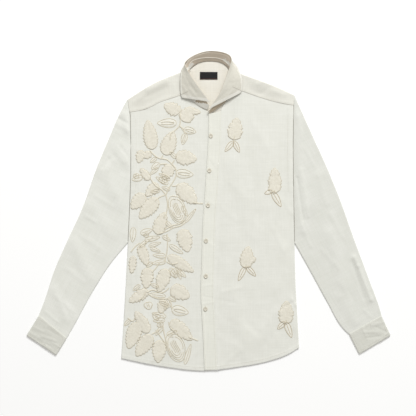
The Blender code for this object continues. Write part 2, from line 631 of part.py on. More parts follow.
def add_collar():
    """The stand on the neck seam and the leaf that turns over its top and spreads outward."""
    table = np.array(COLLAR)
    count = (len(table) - 1) * COLLAR_STEPS + 1
    at, own = np.linspace(0, len(table) - 1, count), np.arange(len(table))
    rows = np.stack([smooth(own, column, at) for column in table.T], axis=1)
    foot, fold, edge, hang = rows[:, 0:3], rows[:, 3:6], rows[:, 6:9], rows[:, 9:10]
    foot = foot + (0, 0, COLLAR_WALL / 2)
    low_corner = np.column_stack([fold[:, :2], np.full(count, LEAF_LOW)])
    middle = (fold + edge) / 2 + (0, 0, LEAF_CROWN)
    middle = middle * (1 - hang) + low_corner * hang
    steps = np.linspace(0, 1, LEAF_ROWS)
    leaf = np.stack([fold * (1 - t) ** 2 + middle * 2 * t * (1 - t) + edge * t * t for t in steps], axis=1)
    thickened("collar_leaf", leaf)
    down = unit(foot - fold)
    leaf_normal = unit(np.cross(leaf[:, 1] - leaf[:, 0], np.gradient(fold, axis=0)))
    steepness = np.abs(np.sum(down * leaf_normal, axis=1, keepdims=True))
    top = fold + down * STAND_CLEAR / np.maximum(steepness, STEEPEST)
    stand = np.stack([foot + (top - foot) * t for t in (0, 0.5, 1)], axis=1)
    thickened("collar_stand", stand)


def unit(vectors):
    """The same directions with a length of 1."""
    return vectors / np.linalg.norm(vectors, axis=-1, keepdims=True)


def thickened(name, middle):
    """A wall of even thickness on both sides of a grid of points."""
    rows, columns = middle.shape[:2]
    along = np.gradient(middle, axis=0)
    across = np.gradient(middle, axis=1)
    normal = unit(np.cross(across, along))
    outer = (middle + normal * COLLAR_WALL / 2).reshape(-1, 3)
    inner = (middle - normal * COLLAR_WALL / 2).reshape(-1, 3)
    add_solid(name, LINEN, outer, inner, grid_faces(rows, columns))


def add_buttons():
    """Turned shell buttons with a raised rim, just clear of the band."""
    low = ON_FRONT + BAND_WALL + GAP
    turns = np.arange(BUTTON_SIDES) * 2 * math.pi / BUTTON_SIDES
    last = (len(BUTTON_PROFILE) - 1) * BUTTON_SIDES
    faces = grid_faces(len(BUTTON_PROFILE), BUTTON_SIDES, closed=True)
    faces += [list(range(BUTTON_SIDES))[::-1], list(range(last, last + BUTTON_SIDES))]
    for number, (x, y) in enumerate(BUTTONS, start=1):
        verts = [(x + reach * BUTTON_RADIUS * math.cos(turn), y + reach * BUTTON_RADIUS * math.sin(turn),
                  low + height * BUTTON_HEIGHT) for reach, height in BUTTON_PROFILE for turn in turns]
        mesh = bpy.data.meshes.new("button")
        mesh.from_pydata(verts, [], faces)
        add_mesh("button_%d" % number, mesh, SHELL_BUTTON, 0.35)


def add_label():
    """The blank label, sewn flat to the inner side of the yoke."""
    wide, deep, thick = LABEL_SIZE
    low = np.array([(LABEL[0] + x * wide, LABEL[1] + y * deep, ON_BACK)
                    for x, y in ((-0.5, -0.5), (0.5, -0.5), (0.5, 0.5), (-0.5, 0.5))])
    add_solid("neck_label", BLACK_LABEL, low + (0, 0, thick), low, [[0, 1, 2, 3]], 0.6)


for old in list(bpy.data.objects):
    bpy.data.objects.remove(old)
add_back()
add_yoke()
add_fronts()
add_band()
for shirt_side in ("right", "left"):
    add_cuff(shirt_side, add_sleeve(shirt_side))
add_collar()
add_buttons()
add_label()
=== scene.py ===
"""Embroidered linen shirt with long sleeves, laid flat with its front up and its buttons closed.

+X points to the wearer's left, +Y to the neck and +Z up. Lengths are in metres.
"""
import json
import math

import bmesh
import bpy
import numpy as np
from mathutils import Matrix, Vector, noise
from mathutils.bvhtree import BVHTree

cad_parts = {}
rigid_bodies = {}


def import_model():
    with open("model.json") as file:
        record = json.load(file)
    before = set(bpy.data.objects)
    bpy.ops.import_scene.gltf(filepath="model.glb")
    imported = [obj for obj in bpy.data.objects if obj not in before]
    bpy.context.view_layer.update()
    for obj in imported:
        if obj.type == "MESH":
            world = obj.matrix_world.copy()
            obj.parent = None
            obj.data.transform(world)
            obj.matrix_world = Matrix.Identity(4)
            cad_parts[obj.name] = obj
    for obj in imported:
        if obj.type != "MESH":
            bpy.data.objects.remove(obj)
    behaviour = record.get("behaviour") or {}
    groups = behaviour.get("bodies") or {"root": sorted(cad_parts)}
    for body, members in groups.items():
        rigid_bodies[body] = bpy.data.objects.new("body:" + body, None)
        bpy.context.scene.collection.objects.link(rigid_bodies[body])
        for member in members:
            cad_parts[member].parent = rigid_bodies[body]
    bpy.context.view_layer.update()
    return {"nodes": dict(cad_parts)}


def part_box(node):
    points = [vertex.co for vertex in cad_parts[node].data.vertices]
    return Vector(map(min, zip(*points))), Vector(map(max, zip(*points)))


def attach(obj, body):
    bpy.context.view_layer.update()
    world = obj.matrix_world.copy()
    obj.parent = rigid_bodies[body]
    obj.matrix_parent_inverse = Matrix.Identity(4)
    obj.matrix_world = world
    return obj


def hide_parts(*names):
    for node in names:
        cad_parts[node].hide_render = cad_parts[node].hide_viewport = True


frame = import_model()

# Back
# The plain lower back is one width of cream linen that lies flat on the surface with its outside
# down. It is sewn to the yoke above and joined to the fronts round the side folds.
MM = 0.001
PIXEL = 2.55 * MM  # a pixel of the photograph on the shirt
PHOTO_MIDDLE = (208.6, 210.95)
CLOSE = 0.02 * MM  # points nearer than this are one
QUARTER = math.pi / 2
INNER_TOP = 1.2 * MM  # top of the cloth that lies against the surface
WAVE = 0.31416  # the scale of a wave texture whose bands are a metre apart


def spot(px, py):
    """A place on the shirt from its place in the photograph."""
    return (px - PHOTO_MIDDLE[0]) * PIXEL, (PHOTO_MIDDLE[1] - py) * PIXEL


def in_mm(*rows):
    """A table that is given in millimetres, in metres."""
    return np.array(rows) * MM


def photo_line(*numbers):
    """Points on the shirt from x, y, x, y and so on in the photograph."""
    return np.stack(spot(*np.reshape(numbers, (-1, 2)).T), axis=1)


def curve(places, values, at):
    """Values of a curve drawn smoothly through the values at rising places."""
    slopes = np.gradient(values, places)
    k = np.clip(np.searchsorted(places, at, side="right") - 1, 0, len(places) - 2)
    h = places[k + 1] - places[k]
    t = np.clip((at - places[k]) / h, 0, 1)
    start = (1 + 2 * t) * (1 - t) ** 2 * values[k] + t * (1 - t) ** 2 * h * slopes[k]
    return start + t * t * (3 - 2 * t) * values[k + 1] + t * t * (t - 1) * h * slopes[k + 1]


def drawn(points, step):
    """Evenly spaced points on a smooth line through the given ones."""
    points = np.asarray(points, float)
    place = np.concatenate(([0], np.cumsum(np.linalg.norm(np.diff(points, axis=0), axis=1))))
    at = np.linspace(0, place[-1], max(2, round(place[-1] / step) + 1))
    return np.stack([curve(place, column, at) for column in points.T], axis=1)


def distance_to(line, x, y):
    """How far each place is from a line of points."""
    line, best = np.asarray(line, float), np.full(np.shape(x), 9.0)
    for (x0, y0), (x1, y1) in zip(line[:-1], line[1:]):
        run = max((x1 - x0) ** 2 + (y1 - y0) ** 2, 1e-12)
        t = np.clip(((x - x0) * (x1 - x0) + (y - y0) * (y1 - y0)) / run, 0, 1)
        best = np.minimum(best, np.hypot(x - x0 - t * (x1 - x0), y - y0 - t * (y1 - y0)))
    return best


def merged_copy(node):
    """A copy of a CAD node's shape with its loose triangles joined."""
    shape = bmesh.new()
    shape.from_mesh(frame["nodes"][node].data)
    bmesh.ops.remove_doubles(shape, verts=shape.verts, dist=CLOSE)
    shape.normal_update()
    return shape


def cloth_outline(node, level, number=0):
    """The outline of a node's cloth from its level up, seen from above; number 0 is the longest."""
    shape = merged_copy(node)
    lower = [face for face in shape.faces
             if face.normal.z < 0.5 or face.calc_center_median().z < level - CLOSE]
    bmesh.ops.delete(shape, geom=lower, context="FACES")
    left, loops = {edge for edge in shape.edges if edge.is_boundary}, []
    while left:
        edge = left.pop()
        loop = [edge.verts[0], edge.verts[1]]
        while edge is not None:
            edge = next((e for e in loop[-1].link_edges if e in left), None)
            if edge is not None:
                left.discard(edge)
                loop.append(edge.other_vert(loop[-1]))
        loops.append(np.array([vert.co.xy for vert in loop[:-1]]))
    shape.free()
    loops.sort(key=lambda p: -np.linalg.norm(p - np.roll(p, 1, axis=0), axis=1).sum())
    loop = loops[number]
    turned = np.roll(loop, -1, axis=0)
    return loop if (loop[:, 0] * turned[:, 1] - loop[:, 1] * turned[:, 0]).sum() > 0 else loop[::-1]


def evened(outline, step, corner=0.5):
    """A closed outline with evenly spaced points, drawn smoothly between its corners."""
    before, after = outline - np.roll(outline, 1, axis=0), np.roll(outline, -1, axis=0) - outline
    turn = np.arctan2(before[:, 0] * after[:, 1] - before[:, 1] * after[:, 0], (before * after).sum(axis=1))
    corners = np.flatnonzero(np.abs(turn) > corner)
    runs = []
    for start, end in zip(corners, np.append(corners[1:], corners[0] + len(outline))):
        runs.append(drawn(outline[np.arange(start, end + 1) % len(outline)], step)[:-1])
    return np.concatenate(runs)


def cut_cloth(outline, cell, angle=0.0):
    """A flat piece of cloth with this outline, divided along and across its threads."""
    shape = bmesh.new()
    shape.faces.new([shape.verts.new((x, y, 0)) for x, y in outline])
    for turn in (angle + QUARTER, angle):
        across = Vector((math.cos(turn), math.sin(turn), 0))
        reach = [vert.co.dot(across) for vert in shape.verts]
        for place in np.arange(min(reach) + cell / 2, max(reach), cell):
            bmesh.ops.bisect_plane(shape, geom=shape.verts[:] + shape.edges[:] + shape.faces[:],
                                   plane_co=across * place, plane_no=across, dist=CLOSE)
    shape.normal_update()
    if shape.faces[:][0].normal.z < 0:
        bmesh.ops.reverse_faces(shape, faces=shape.faces)
    return shape


def cloth_of(node, level, step, cell, angle=0.0, number=0):
    """A node's cloth from its level up, cut out flat and ready to be raised."""
    return cut_cloth(evened(cloth_outline(node, level, number), step), cell, angle)


def raise_cloth(shape, height):
    """Lift every point of a flat piece of cloth to its height there."""
    places = np.array([vert.co.xy for vert in shape.verts])
    for vert, z in zip(shape.verts, height(places[:, 0], places[:, 1])):
        vert.co.z = z


def extruded(shape, edges):
    """Extrude edges: the new edges, and each new point with the one that it came from."""
    made = bmesh.ops.extrude_edge_only(shape, edges=edges)["geom"]
    fresh = {item for item in made if isinstance(item, bmesh.types.BMVert)}
    edges = [item for item in made if isinstance(item, bmesh.types.BMEdge) and fresh.issuperset(item.verts)]
    return edges, {vert: next(edge.other_vert(vert) for edge in vert.link_edges
                              if edge.other_vert(vert) not in fresh) for vert in fresh}


def turn_under(shape, folds_under, radius, wall=1.2 * MM, tuck=0.0):
    """Roll the cloth's edges down: folded right under where folds_under says so, else just down."""
    edges = [edge for edge in shape.edges if edge.is_boundary]
    ways = {}
    for edge in edges:
        along = edge.verts[1].co - edge.verts[0].co
        out = Vector((along.y, -along.x, 0)).normalized()
        middle = (edge.verts[0].co + edge.verts[1].co) / 2
        if (edge.link_faces[0].calc_center_median() - middle).dot(out) > 0:
            out = -out
        for vert in edge.verts:
            ways[vert] = ways.get(vert, Vector()) + out
    origin = {vert: (vert.co.copy(), way.normalized(), bool(folds_under(vert.co.x, vert.co.y)))
              for vert, way in ways.items()}
    for share in (0.2, 0.4, 0.6, 0.8, 1.0):
        edges, sources = extruded(shape, edges)
        for vert, source in sources.items():
            start, out, under = origin[vert] = origin[source]
            turn = share * QUARTER * (2 if under else 1)
            reach = radius if under else 0.4 * MM
            fall = (1 - math.cos(turn)) * (start.z / 2 if under else wall)
            vert.co = start + out * reach * math.sin(turn) - Vector((0, 0, fall))
    if tuck:
        folded = [edge for edge in edges if all(origin[vert][2] for vert in edge.verts)]
        for vert, source in extruded(shape, folded)[1].items():
            vert.co = origin[source][0] - origin[source][1] * tuck
            vert.co.z = 0.6 * MM
    return edges


def linear(code):
    """The linear colour of an sRGB hex code, as a shader takes it."""
    parts = [int(code[k:k + 2], 16) / 255 for k in (0, 2, 4)]
    return [c / 12.92 if c <= 0.04045 else ((c + 0.055) / 1.055) ** 2.4 for c in parts] + [1]


def add_node(material, kind, inputs=(), out=0, **fields):
    """Add a shader node and give one of its outputs; an input is a value or the socket to link from."""
    made = material.node_tree.nodes.new("ShaderNode" + kind)
    for field, value in fields.items():
        setattr(made, field, value)
    for name, value in dict(inputs).items():
        if isinstance(value, bpy.types.NodeSocket):
            material.node_tree.links.new(value, made.inputs[name])
        else:
            made.inputs[name].default_value = value
    return made.outputs[out]


def new_material(name, inputs):
    """A new material with these inputs of its main shader set."""
    material = bpy.data.materials.new(name)
    material.use_nodes = True
    for field, value in inputs.items():
        material.node_tree.nodes["Principled BSDF"].inputs[field].default_value = value
    return material


def paint(material, share, dark, light, relief=None, strength=0.0, depth=0.0):
    """Colour a material from dark to light by a share, with a fine relief where one is given."""
    shader, link = material.node_tree.nodes["Principled BSDF"], material.node_tree.links.new
    link(add_node(material, "Mix", {"Factor": share, 6: linear(dark), 7: linear(light)}, 2,
                  data_type="RGBA"), shader.inputs["Base Color"])
    if relief is not None:
        link(add_node(material, "Bump", {"Height": relief, "Strength": strength, "Distance": depth}),
             shader.inputs["Normal"])
    return material


def linen(name, dark, light, turn=0.0):
    """Washed plain-woven linen: matt, with thicker threads here and there in both directions."""
    material = new_material(name, {"Roughness": 0.86, "Sheen Weight": 0.12, "Sheen Roughness": 0.5})
    place = add_node(material, "TexCoord", out="Object")
    cloth = add_node(material, "Mapping", {"Vector": place, "Rotation": (0, 0, turn)})
    # Linen has about 18 threads to a centimetre; they are drawn at 1.2 mm, twice as coarse, to show
    threads = [add_node(material, "TexWave", {"Vector": cloth, "Scale": WAVE / (1.2 * MM), "Distortion": 0.6,
                                              "Detail": 1.0, "Detail Scale": 2.0}, "Fac",
                        bands_direction=way) for way in "XY"]
    weave = add_node(material, "Math", {0: threads[0], 1: threads[1]}, operation="MULTIPLY")
    # Slubs are thick places in single threads, about 1.5 mm wide once drawn and 30 to 60 mm long
    slubs = []
    for stretch in ((1, 0.04, 1), (0.04, 1, 1)):
        along = add_node(material, "Mapping", {"Vector": cloth, "Scale": stretch})
        slubs.append(add_node(material, "TexNoise", {"Vector": along, "Scale": 420.0, "Detail": 2.0,
                                                     "Roughness": 0.6}, "Fac"))
    slub = add_node(material, "Math", {0: slubs[0], 1: slubs[1]}, operation="ADD")
    cloudy = add_node(material, "TexNoise", {"Vector": cloth, "Scale": 22.0, "Detail": 3.0}, "Fac")
    tone = add_node(material, "Math", {0: slub, 1: cloudy}, operation="ADD")
    share = add_node(material, "MapRange", {"Value": tone, "From Min": 0.8, "From Max": 2.2})
    relief = add_node(material, "Math", {0: slub, 1: 0.5, 2: weave}, operation="MULTIPLY_ADD")
    return paint(material, share, dark, light, relief, 0.5, 0.25 * MM)


def finished_mesh(name, shape):
    """The mesh of a finished shape."""
    mesh = bpy.data.meshes.new(name)
    shape.to_mesh(mesh)
    shape.free()
    return mesh


def put_object(name, data):
    """A new object in the scene."""
    made = bpy.data.objects.new(name, data)
    bpy.context.scene.collection.objects.link(made)
    return made


def add_piece(name, shape, material, replaces=(), wall=0.0, others=()):
    """Make a finished piece of the shirt from its shape, with a wall where it is cloth."""
    mesh = finished_mesh(name, shape)
    mesh.polygons.foreach_set("use_smooth", [True] * len(mesh.polygons))
    for surface in (material, *others):
        mesh.materials.append(surface)
    piece = put_object(name, mesh)
    if wall:
        cloth = piece.modifiers.new("cloth thickness", "SOLIDIFY")
        cloth.thickness, cloth.offset = wall, -1
    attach(piece, "root")
    if replaces:
        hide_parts(*replaces)
    return piece


body_linen = linen("washed cream linen", "E0E0D7", "EDEDE6")

shape = cloth_of("back", INNER_TOP, 6 * MM, 9 * MM)
raise_cloth(shape, lambda x, y: INNER_TOP + 0 * x)
back = add_piece("back_cloth", shape, body_linen, replaces=["back"], wall=1.2 * MM)

# Fronts
# Each front is one width of linen, hemmed at the foot, that passes round the side fold and is sewn
# to the back beneath. Wearing, washing and smoothing by hand leave it full of shallow waves.
SIDES = in_mm(
    # height on the shirt, and the right and the left side there
    (284, -206, 217.2), (244.6, -199.6, 216.2), (166, -198.1, 215.3), (87.3, -198.5, 216), (16, -200.9, 217.1),
    (-80, -205.3, 219), (-175, -210.1, 221.1), (-260, -215, 225.5), (-320, -218.7, 229), (-380, -222.9, 232.5))
HEM = in_mm(
    (-222.9, -375), (-164.2, -387.2), (-93.6, -399.2), (-8.7, -406.6), (69.1, -397.7), (146.9, -383.6),
    (196.4, -367.3), (232.5, -347.8))
BAND_LINE = in_mm(
    (16.1, 252.3), (14.3, 155.4), (11.7, 119.7), (7.9, 58.5), (1.5, -28.2), (-1, -120), (-3.6, -206.7),
    (0.3, -285.7), (2.8, -334.2), (5.5, -405.6))
BODY_FOLDS = in_mm(
    # from x, y, to x, y, width and height
    (-186, 245, -184, 75, 6, 0.48), (203, 262, 203, 75, 6, 0.48), (-150, 80, -165, -60, 16, 0.8),
    (-60, 40, -85, -330, 22, 0.96), (-175, -230, -140, -370, 14, 0.96), (60, 120, 120, -60, 22, 1.12),
    (150, 160, 130, 10, 18, 0.96), (60, -200, 100, -370, 18, 1.28), (165, -270, 90, -355, 20, 1.12),
    (190, -100, 175, -250, 18, 1.28), (70, -300, 125, -335, 16, 0.56), (210, -220, 222, -300, 10, 0.96))
BODY_CREASES = (
    # from x, y, to x, y in the photograph, width and height in mm, as in every table of creases
    (292, 299, 297, 307, 3.5, 1.2), (286, 306, 296, 301, 4.0, -0.8), (232, 318, 262, 340, 9.0, 0.4),
    (250, 326, 266, 344, 7.0, -0.4), (218, 338, 238, 346, 9.0, 0.5), (268, 318, 276, 340, 8.0, 0.4),
    (222, 292, 240, 288, 5.0, 0.5), (221, 300, 236, 303, 4.0, -0.4), (220, 206, 236, 220, 7.0, 0.4),
    (226, 180, 246, 196, 8.0, 0.4), (252, 120, 268, 150, 8.0, 0.4), (274, 230, 284, 252, 6.0, 0.5),
    (130, 100, 150, 108, 5.0, 0.5), (134, 250, 140, 290, 6.0, 0.5), (196, 300, 190, 330, 6.0, 0.5),
    (200, 128, 192, 142, 5.0, 0.4), (140, 368, 166, 352, 6.0, 0.5), (180, 372, 196, 352, 6.0, 0.5),
    (209, 128, 216, 121, 3.0, 0.7), (222, 366, 240, 350, 6.0, 0.6), (283, 200, 292, 214, 5.0, 0.5))
BODY_TOP = 3.4 * MM  # top of the fronts and the sleeves
CELL = 2.6 * MM  # one cell of their cloth
EDGE_RADIUS = 1.7 * MM
ARMHOLE_LOW_Y = 0.048
SEAM_LOW_Y = -0.078  # where the sleeve leaves the body
ARMHOLE_SEAM = 12 * MM
HEM_WIDTH = 9 * MM
BAND_WIDTH = 31.5 * MM


def side_x(side, y):
    """Where the body's side fold or armhole is at a height on the shirt."""
    rows = SIDES[::-1]
    return np.interp(y, rows[:, 0], rows[:, 1 if side == "right" else 2])


def band_x(y):
    """Where the middle of the button band is at a height on the shirt."""
    rows = BAND_LINE[::-1]
    return curve(rows[:, 1], rows[:, 0], y)


def ridges(rows, x, y, unit=1.0):
    """The height that a list of soft folds or creases adds at each place."""
    total = np.zeros(len(x))
    for x0, y0, x1, y1, width, height in rows:
        (x0, y0), (x1, y1) = ((x0, y0), (x1, y1)) if unit == 1 else (spot(x0, y0), spot(x1, y1))
        run = (x1 - x0) ** 2 + (y1 - y0) ** 2
        t = ((x - x0) * (x1 - x0) + (y - y0) * (y1 - y0)) / run
        away = np.hypot(x - x0 - np.clip(t, 0, 1) * (x1 - x0), y - y0 - np.clip(t, 0, 1) * (y1 - y0))
        total += height * unit * np.exp(-(away / (width * unit)) ** 2)
    return total


def waves(x, y, *rows):
    """Uneven waves of washed cloth, each row their height and size in mm and a seed."""
    return sum(height * MM * np.array([noise.noise((a / (size * MM), b / (size * MM), seed))
                                       for a, b in zip(x, y)]) for height, size, seed in rows)


def soft_step(distance, width):
    """From 1 at no distance to 0 at the width and beyond."""
    t = np.clip(distance / width, 0, 1)
    return 1 - t * t * (3 - 2 * t)


def front_height(side, x, y):
    """The top of a front's cloth at each place."""
    hem = distance_to(drawn(HEM, 8 * MM), x, y)
    sides = np.minimum(x - side_x("right", y), side_x("left", y) - x)
    armhole = np.where(y > ARMHOLE_LOW_Y, sides, 1.0)
    band = distance_to(drawn(BAND_LINE, 12 * MM), x, y)
    free = 1 - soft_step(band - 17 * MM, 14 * MM)
    edge = 1 - soft_step(np.minimum(sides, hem), 12 * MM)
    z = BODY_TOP + ridges(BODY_FOLDS, x, y) * free * edge + ridges(BODY_CREASES, x, y, MM) * free
    z += waves(x, y, (0.34, 48, 3.1), (0.28, 19, 7.7)) * free + waves(x, y, (0.10, 8, 1.9))
    if side == "left":
        z += 1.35 * MM * soft_step(x - band_x(y) - BAND_WIDTH / 2, 10 * MM)
    # The cloth is doubled at the hem and the armholes, and it puckers along their stitches
    z += 0.45 * MM * soft_step(hem - HEM_WIDTH, 2 * MM)
    z += waves(x, y, (0.22, 9, 5.5)) * soft_step(np.abs(hem - HEM_WIDTH), 7 * MM)
    z += 0.40 * MM * soft_step(armhole - ARMHOLE_SEAM, 2 * MM) - 1.3 * MM * soft_step(armhole, 3.5 * MM)
    z += waves(x, y, (0.25, 10, 9.3)) * soft_step(np.abs(armhole - ARMHOLE_SEAM), 8 * MM)
    return z


front_pieces = {}
for side, toward, flat, area in (("right", -1, (0.29, 0.74), 0.160), ("left", 1, (0.26, 0.75), 0.146)):
    outline = cloth_outline("front_" + side, BODY_TOP)
    inward = np.abs(outline[:, 0] - side_x(side, outline[:, 1]))
    # A raised leaf beside the armhole takes a corner out of the outline, which is left out here
    bitten = (inward > 5 * MM) & (inward < 20 * MM) & (np.abs(outline[:, 1] - 0.06) < 0.03)
    shape = cut_cloth(evened(outline[~bitten], 3 * MM), CELL)
    raise_cloth(shape, lambda x, y: front_height(side, x, y))
    turn_under(shape, lambda x, y: toward * (x - side_x(side, y)) > -4 * MM and y < 0.28, EDGE_RADIUS,
               tuck=12 * MM)
    piece = add_piece("front_%s_cloth" % side, shape, body_linen, replaces=["front_" + side], wall=0.6 * MM)
    front_pieces[side] = piece

# Sleeves
# Each sleeve is one piece of linen sewn to a tube under the arm, set into the armhole before the
# side was closed, and now lying flat with long soft folds from the shoulder to the cuff.
SLEEVE_FOLDS = {
    # from x, y, to x, y, width and height
    "right": in_mm(
        (-214, 245, -206, 205, 10, 2.2), (-228, 165, -204, 120, 14, 1.6), (-268, 105, -225, 20, 18, 2),
        (-300, 10, -245, -60, 16, 1.2), (-345, -80, -300, -170, 18, 2), (-395, -200, -360, -270, 14, 1.8)),
    "left": in_mm(
        (228, 240, 232, 80, 10, 1.6), (232, 60, 240, -50, 12, 2), (285, 90, 260, 10, 18, 1.8),
        (372, -120, 412, -225, 10, 2), (310, -60, 345, -190, 18, 1.8), (340, -220, 372, -280, 14, 1.6))}
SLEEVE_CREASES = {
    "right": (
        (118, 118, 130, 125, 4.0, -1.3), (117, 124, 129, 131, 5.0, 0.8), (103, 167, 109, 159, 4.5, -1.2),
        (108, 170, 114, 160, 5.0, 0.8), (119, 145, 130, 159, 5.0, -1.0), (114, 150, 124, 162, 6.0, 0.7),
        (86, 216, 96, 222, 5.0, 0.7), (82, 236, 100, 248, 7.0, 0.6), (66, 268, 84, 282, 7.0, 0.6),
        (96, 196, 112, 206, 6.0, 0.5), (56, 296, 74, 312, 6.0, 0.7), (70, 318, 62, 300, 5.0, -0.6),
        (122, 176, 116, 196, 6.0, 0.6), (46, 312, 58, 322, 4.0, 0.7)),
    "left": (
        (354, 257, 358, 266, 4.0, 1.2), (358, 266, 371, 300, 4.0, 1.5), (352, 262, 364, 298, 4.5, -1.0),
        (297, 178, 303, 220, 3.5, -1.7), (301, 170, 308, 216, 5.0, 1.2), (318, 176, 326, 204, 7.0, 0.6),
        (330, 214, 342, 236, 7.0, 0.6), (322, 250, 338, 268, 6.0, 0.6), (306, 150, 314, 166, 5.0, 0.5),
        (340, 282, 352, 304, 6.0, 0.6), (364, 310, 374, 320, 4.0, 0.7), (302, 226, 310, 246, 5.0, 0.7),
        (296, 110, 302, 140, 4.0, 0.6))}
SLEEVE_ENDS = {
    "right": in_mm((-433, -266.9), (-361.8, -325.3)),
    "left": in_mm((358, -314.5), (440.9, -267.9))}
SLEEVE_TURN = {"right": math.radians(62), "left": math.radians(-62)}
# Painted shade: the left sleeve's linen is a darker copy of the same linen
sleeve_linen_left_painted_shade = {side: linen("washed cream linen, %s sleeve" % side, dark, light, -SLEEVE_TURN[side])
                for side, dark, light in (("right", "DFE0D7", "EDEDE7"), ("left", "DADBD2", "E8E8E2"))}


def sleeve_height(side, x, y):
    """The top of a sleeve's cloth at each place."""
    cuff = distance_to(SLEEVE_ENDS[side], x, y)
    armhole = np.where(y > SEAM_LOW_Y, np.abs(x - side_x(side, y)), 1.0)
    edge = (1 - soft_step(cuff, 15 * MM)) * (1 - soft_step(armhole, 8 * MM))
    seed = 20.0 if side == "right" else 31.0
    z = BODY_TOP + (ridges(SLEEVE_FOLDS[side], x, y) + ridges(SLEEVE_CREASES[side], x, y, MM)) * edge
    z += waves(x, y, (0.36, 52, seed), (0.24, 20, seed + 4.4), (0.07, 7, seed + 6.1))
    z += waves(x, y, (0.30, 9, seed + 8.3)) * soft_step(cuff, 20 * MM)
    z += waves(x, y, (0.25, 11, seed + 2.7)) * soft_step(armhole, 22 * MM)
    return z - 1.3 * MM * soft_step(armhole, 4.5 * MM)


def close_tube(shape, radius):
    """Roll the cloth's edges right under and close the tube below."""
    rim = turn_under(shape, lambda x, y: True, radius)
    bmesh.ops.contextual_create(shape, geom=rim)
    bmesh.ops.recalc_face_normals(shape, faces=shape.faces)


for side in ("right", "left"):
    shape = cloth_of("sleeve_" + side, BODY_TOP, 3 * MM, CELL, SLEEVE_TURN[side])
    raise_cloth(shape, lambda x, y: sleeve_height(side, x, y))
    close_tube(shape, EDGE_RADIUS)
    piece = add_piece("sleeve_%s_cloth" % side, shape, sleeve_linen_left_painted_shade[side], replaces=["sleeve_" + side],
                      wall=0.6 * MM)

# Cuffs
# Each cuff is a doubled strip of linen with an interlining, folded to a flat band and topstitched
# round its edges, and the sleeve's end is sewn into it.
CUFF_CREASES = {
    "right": (
        (42, 336, 56, 341, 3.5, 1.0), (38, 341, 50, 346, 3.0, -0.8), (34, 327, 44, 332, 4.0, 0.8),
        (31, 333, 40, 338, 3.0, 0.8), (48, 329, 58, 335, 3.0, -0.7), (44, 344, 52, 350, 3.0, 0.8),
        (53, 343, 60, 347, 2.5, 0.9)),
    "left": (
        (364, 332, 377, 332, 3.5, 1.0), (366, 338, 380, 336, 3.0, -0.8), (372, 325, 384, 322, 4.0, 0.8),
        (361, 325, 367, 339, 3.0, 0.8), (376, 327, 386, 332, 3.0, -0.8), (380, 341, 387, 333, 3.0, 0.8))}
CUFF_TOP = 5.0 * MM
for side in ("right", "left"):
    shape = cloth_of("cuff_" + side, CUFF_TOP, 2.5 * MM, 2.4 * MM, SLEEVE_TURN[side])
    raise_cloth(shape, lambda x, y: CUFF_TOP + ridges(CUFF_CREASES[side], x, y, MM)
                + waves(x, y, (0.35, 18, 40.2), (0.25, 8, 42.2)))
    close_tube(shape, 2.3 * MM)
    cuff_linen = linen("interlined linen, %s cuff" % side, "D1D1C7", "E0E0D8", -SLEEVE_TURN[side])
    piece = add_piece("cuff_%s_cloth" % side, shape, cuff_linen, replaces=["cuff_" + side], wall=1.2 * MM)

# Yoke
# The yoke is one doubled piece across the shoulders that turns over them onto the front, so its
# inner side shows in the neck. It is topstitched to the back and to both fronts.
NECK_X = 0.003
SHOULDERS = {
    "right": in_mm((-206, 284), (-141.8, 323.5), (-86, 347.8), (-46.5, 361)),
    "left": in_mm((217.2, 295.5), (167.5, 318.1), (116, 337.5), (51.5, 360.5))}
YOKE_SEAMS = {
    "right": in_mm(
        (-200.1, 252.3), (-159.1, 260.5), (-127, 276.5), (-72.2, 295.7), (-52.5, 304.6)),
    "left": in_mm((216.4, 270), (187.9, 274.5), (133.6, 289.3), (89.8, 304.6), (60.4, 316.1))}
YOKE_CREASES = (
    (146, 97, 166, 88, 7.0, -1.1), (148, 90, 166, 81, 7.0, 1.2), (260, 94, 274, 85, 7.0, -1.1),
    (258, 84, 272, 79, 6.0, 1.2), (276, 92, 286, 95, 6.0, 0.8), (176, 92, 172, 78, 5.0, 0.5),
    (246, 90, 252, 78, 5.0, 0.5), (134, 102, 144, 96, 6.0, 0.8))


def join(shape, part):
    """Add a finished part's faces to a shape."""
    mesh = finished_mesh("part", part)
    shape.from_mesh(mesh)
    bpy.data.meshes.remove(mesh)


# Painted shade: the yoke's outside is a slightly darker copy of the body's linen
yoke_linen_painted_shade = linen("doubled linen, yoke, painted shade", "DEDCD2", "EBEAE1", QUARTER)
# Painted light: the yoke's inside is a lighter copy of the linen, against the collar's shade
inside_linen_painted_light = linen("doubled linen, inside of the yoke, painted light", "E6E2D6", "F3F0E7", QUARTER)
shape = cloth_of("yoke", INNER_TOP, 5 * MM, 6 * MM)
raise_cloth(shape, lambda x, y: INNER_TOP + 0 * x)
for number in (0, 1):
    flap = cloth_of("yoke", BODY_TOP, 3 * MM, CELL, number=number)
    side = "right" if flap.verts[:][0].co.x < 0 else "left"
    shoulder, seam = drawn(SHOULDERS[side], 8 * MM), drawn(YOKE_SEAMS[side], 8 * MM)
    # The fold over the shoulder stands up between the neck and the sleeve
    raise_cloth(flap, lambda x, y: BODY_TOP + ridges(YOKE_CREASES, x, y, MM)
                + 4.0 * MM * soft_step(distance_to(shoulder, x, y) - 8 * MM, 30 * MM)
                * (1 - soft_step(np.abs(x - NECK_X) - 0.09, 0.03)) * soft_step(np.abs(x - NECK_X) - 0.15, 0.07)
                + 0.7 * MM * soft_step(distance_to(seam, x, y), 12 * MM)
                + waves(x, y, (0.28, 34, 51.2), (0.16, 12, 52.2)))
    turn_under(flap, lambda x, y: distance_to(shoulder, x, y) < 4 * MM, EDGE_RADIUS)
    join(shape, flap)
for face in shape.faces:
    face.material_index = int(all(abs(vert.co.z - INNER_TOP) < 0.1 * MM for vert in face.verts))
yoke = add_piece("yoke_cloth", shape, yoke_linen_painted_shade, replaces=["yoke"], wall=1.2 * MM, others=[inside_linen_painted_light])

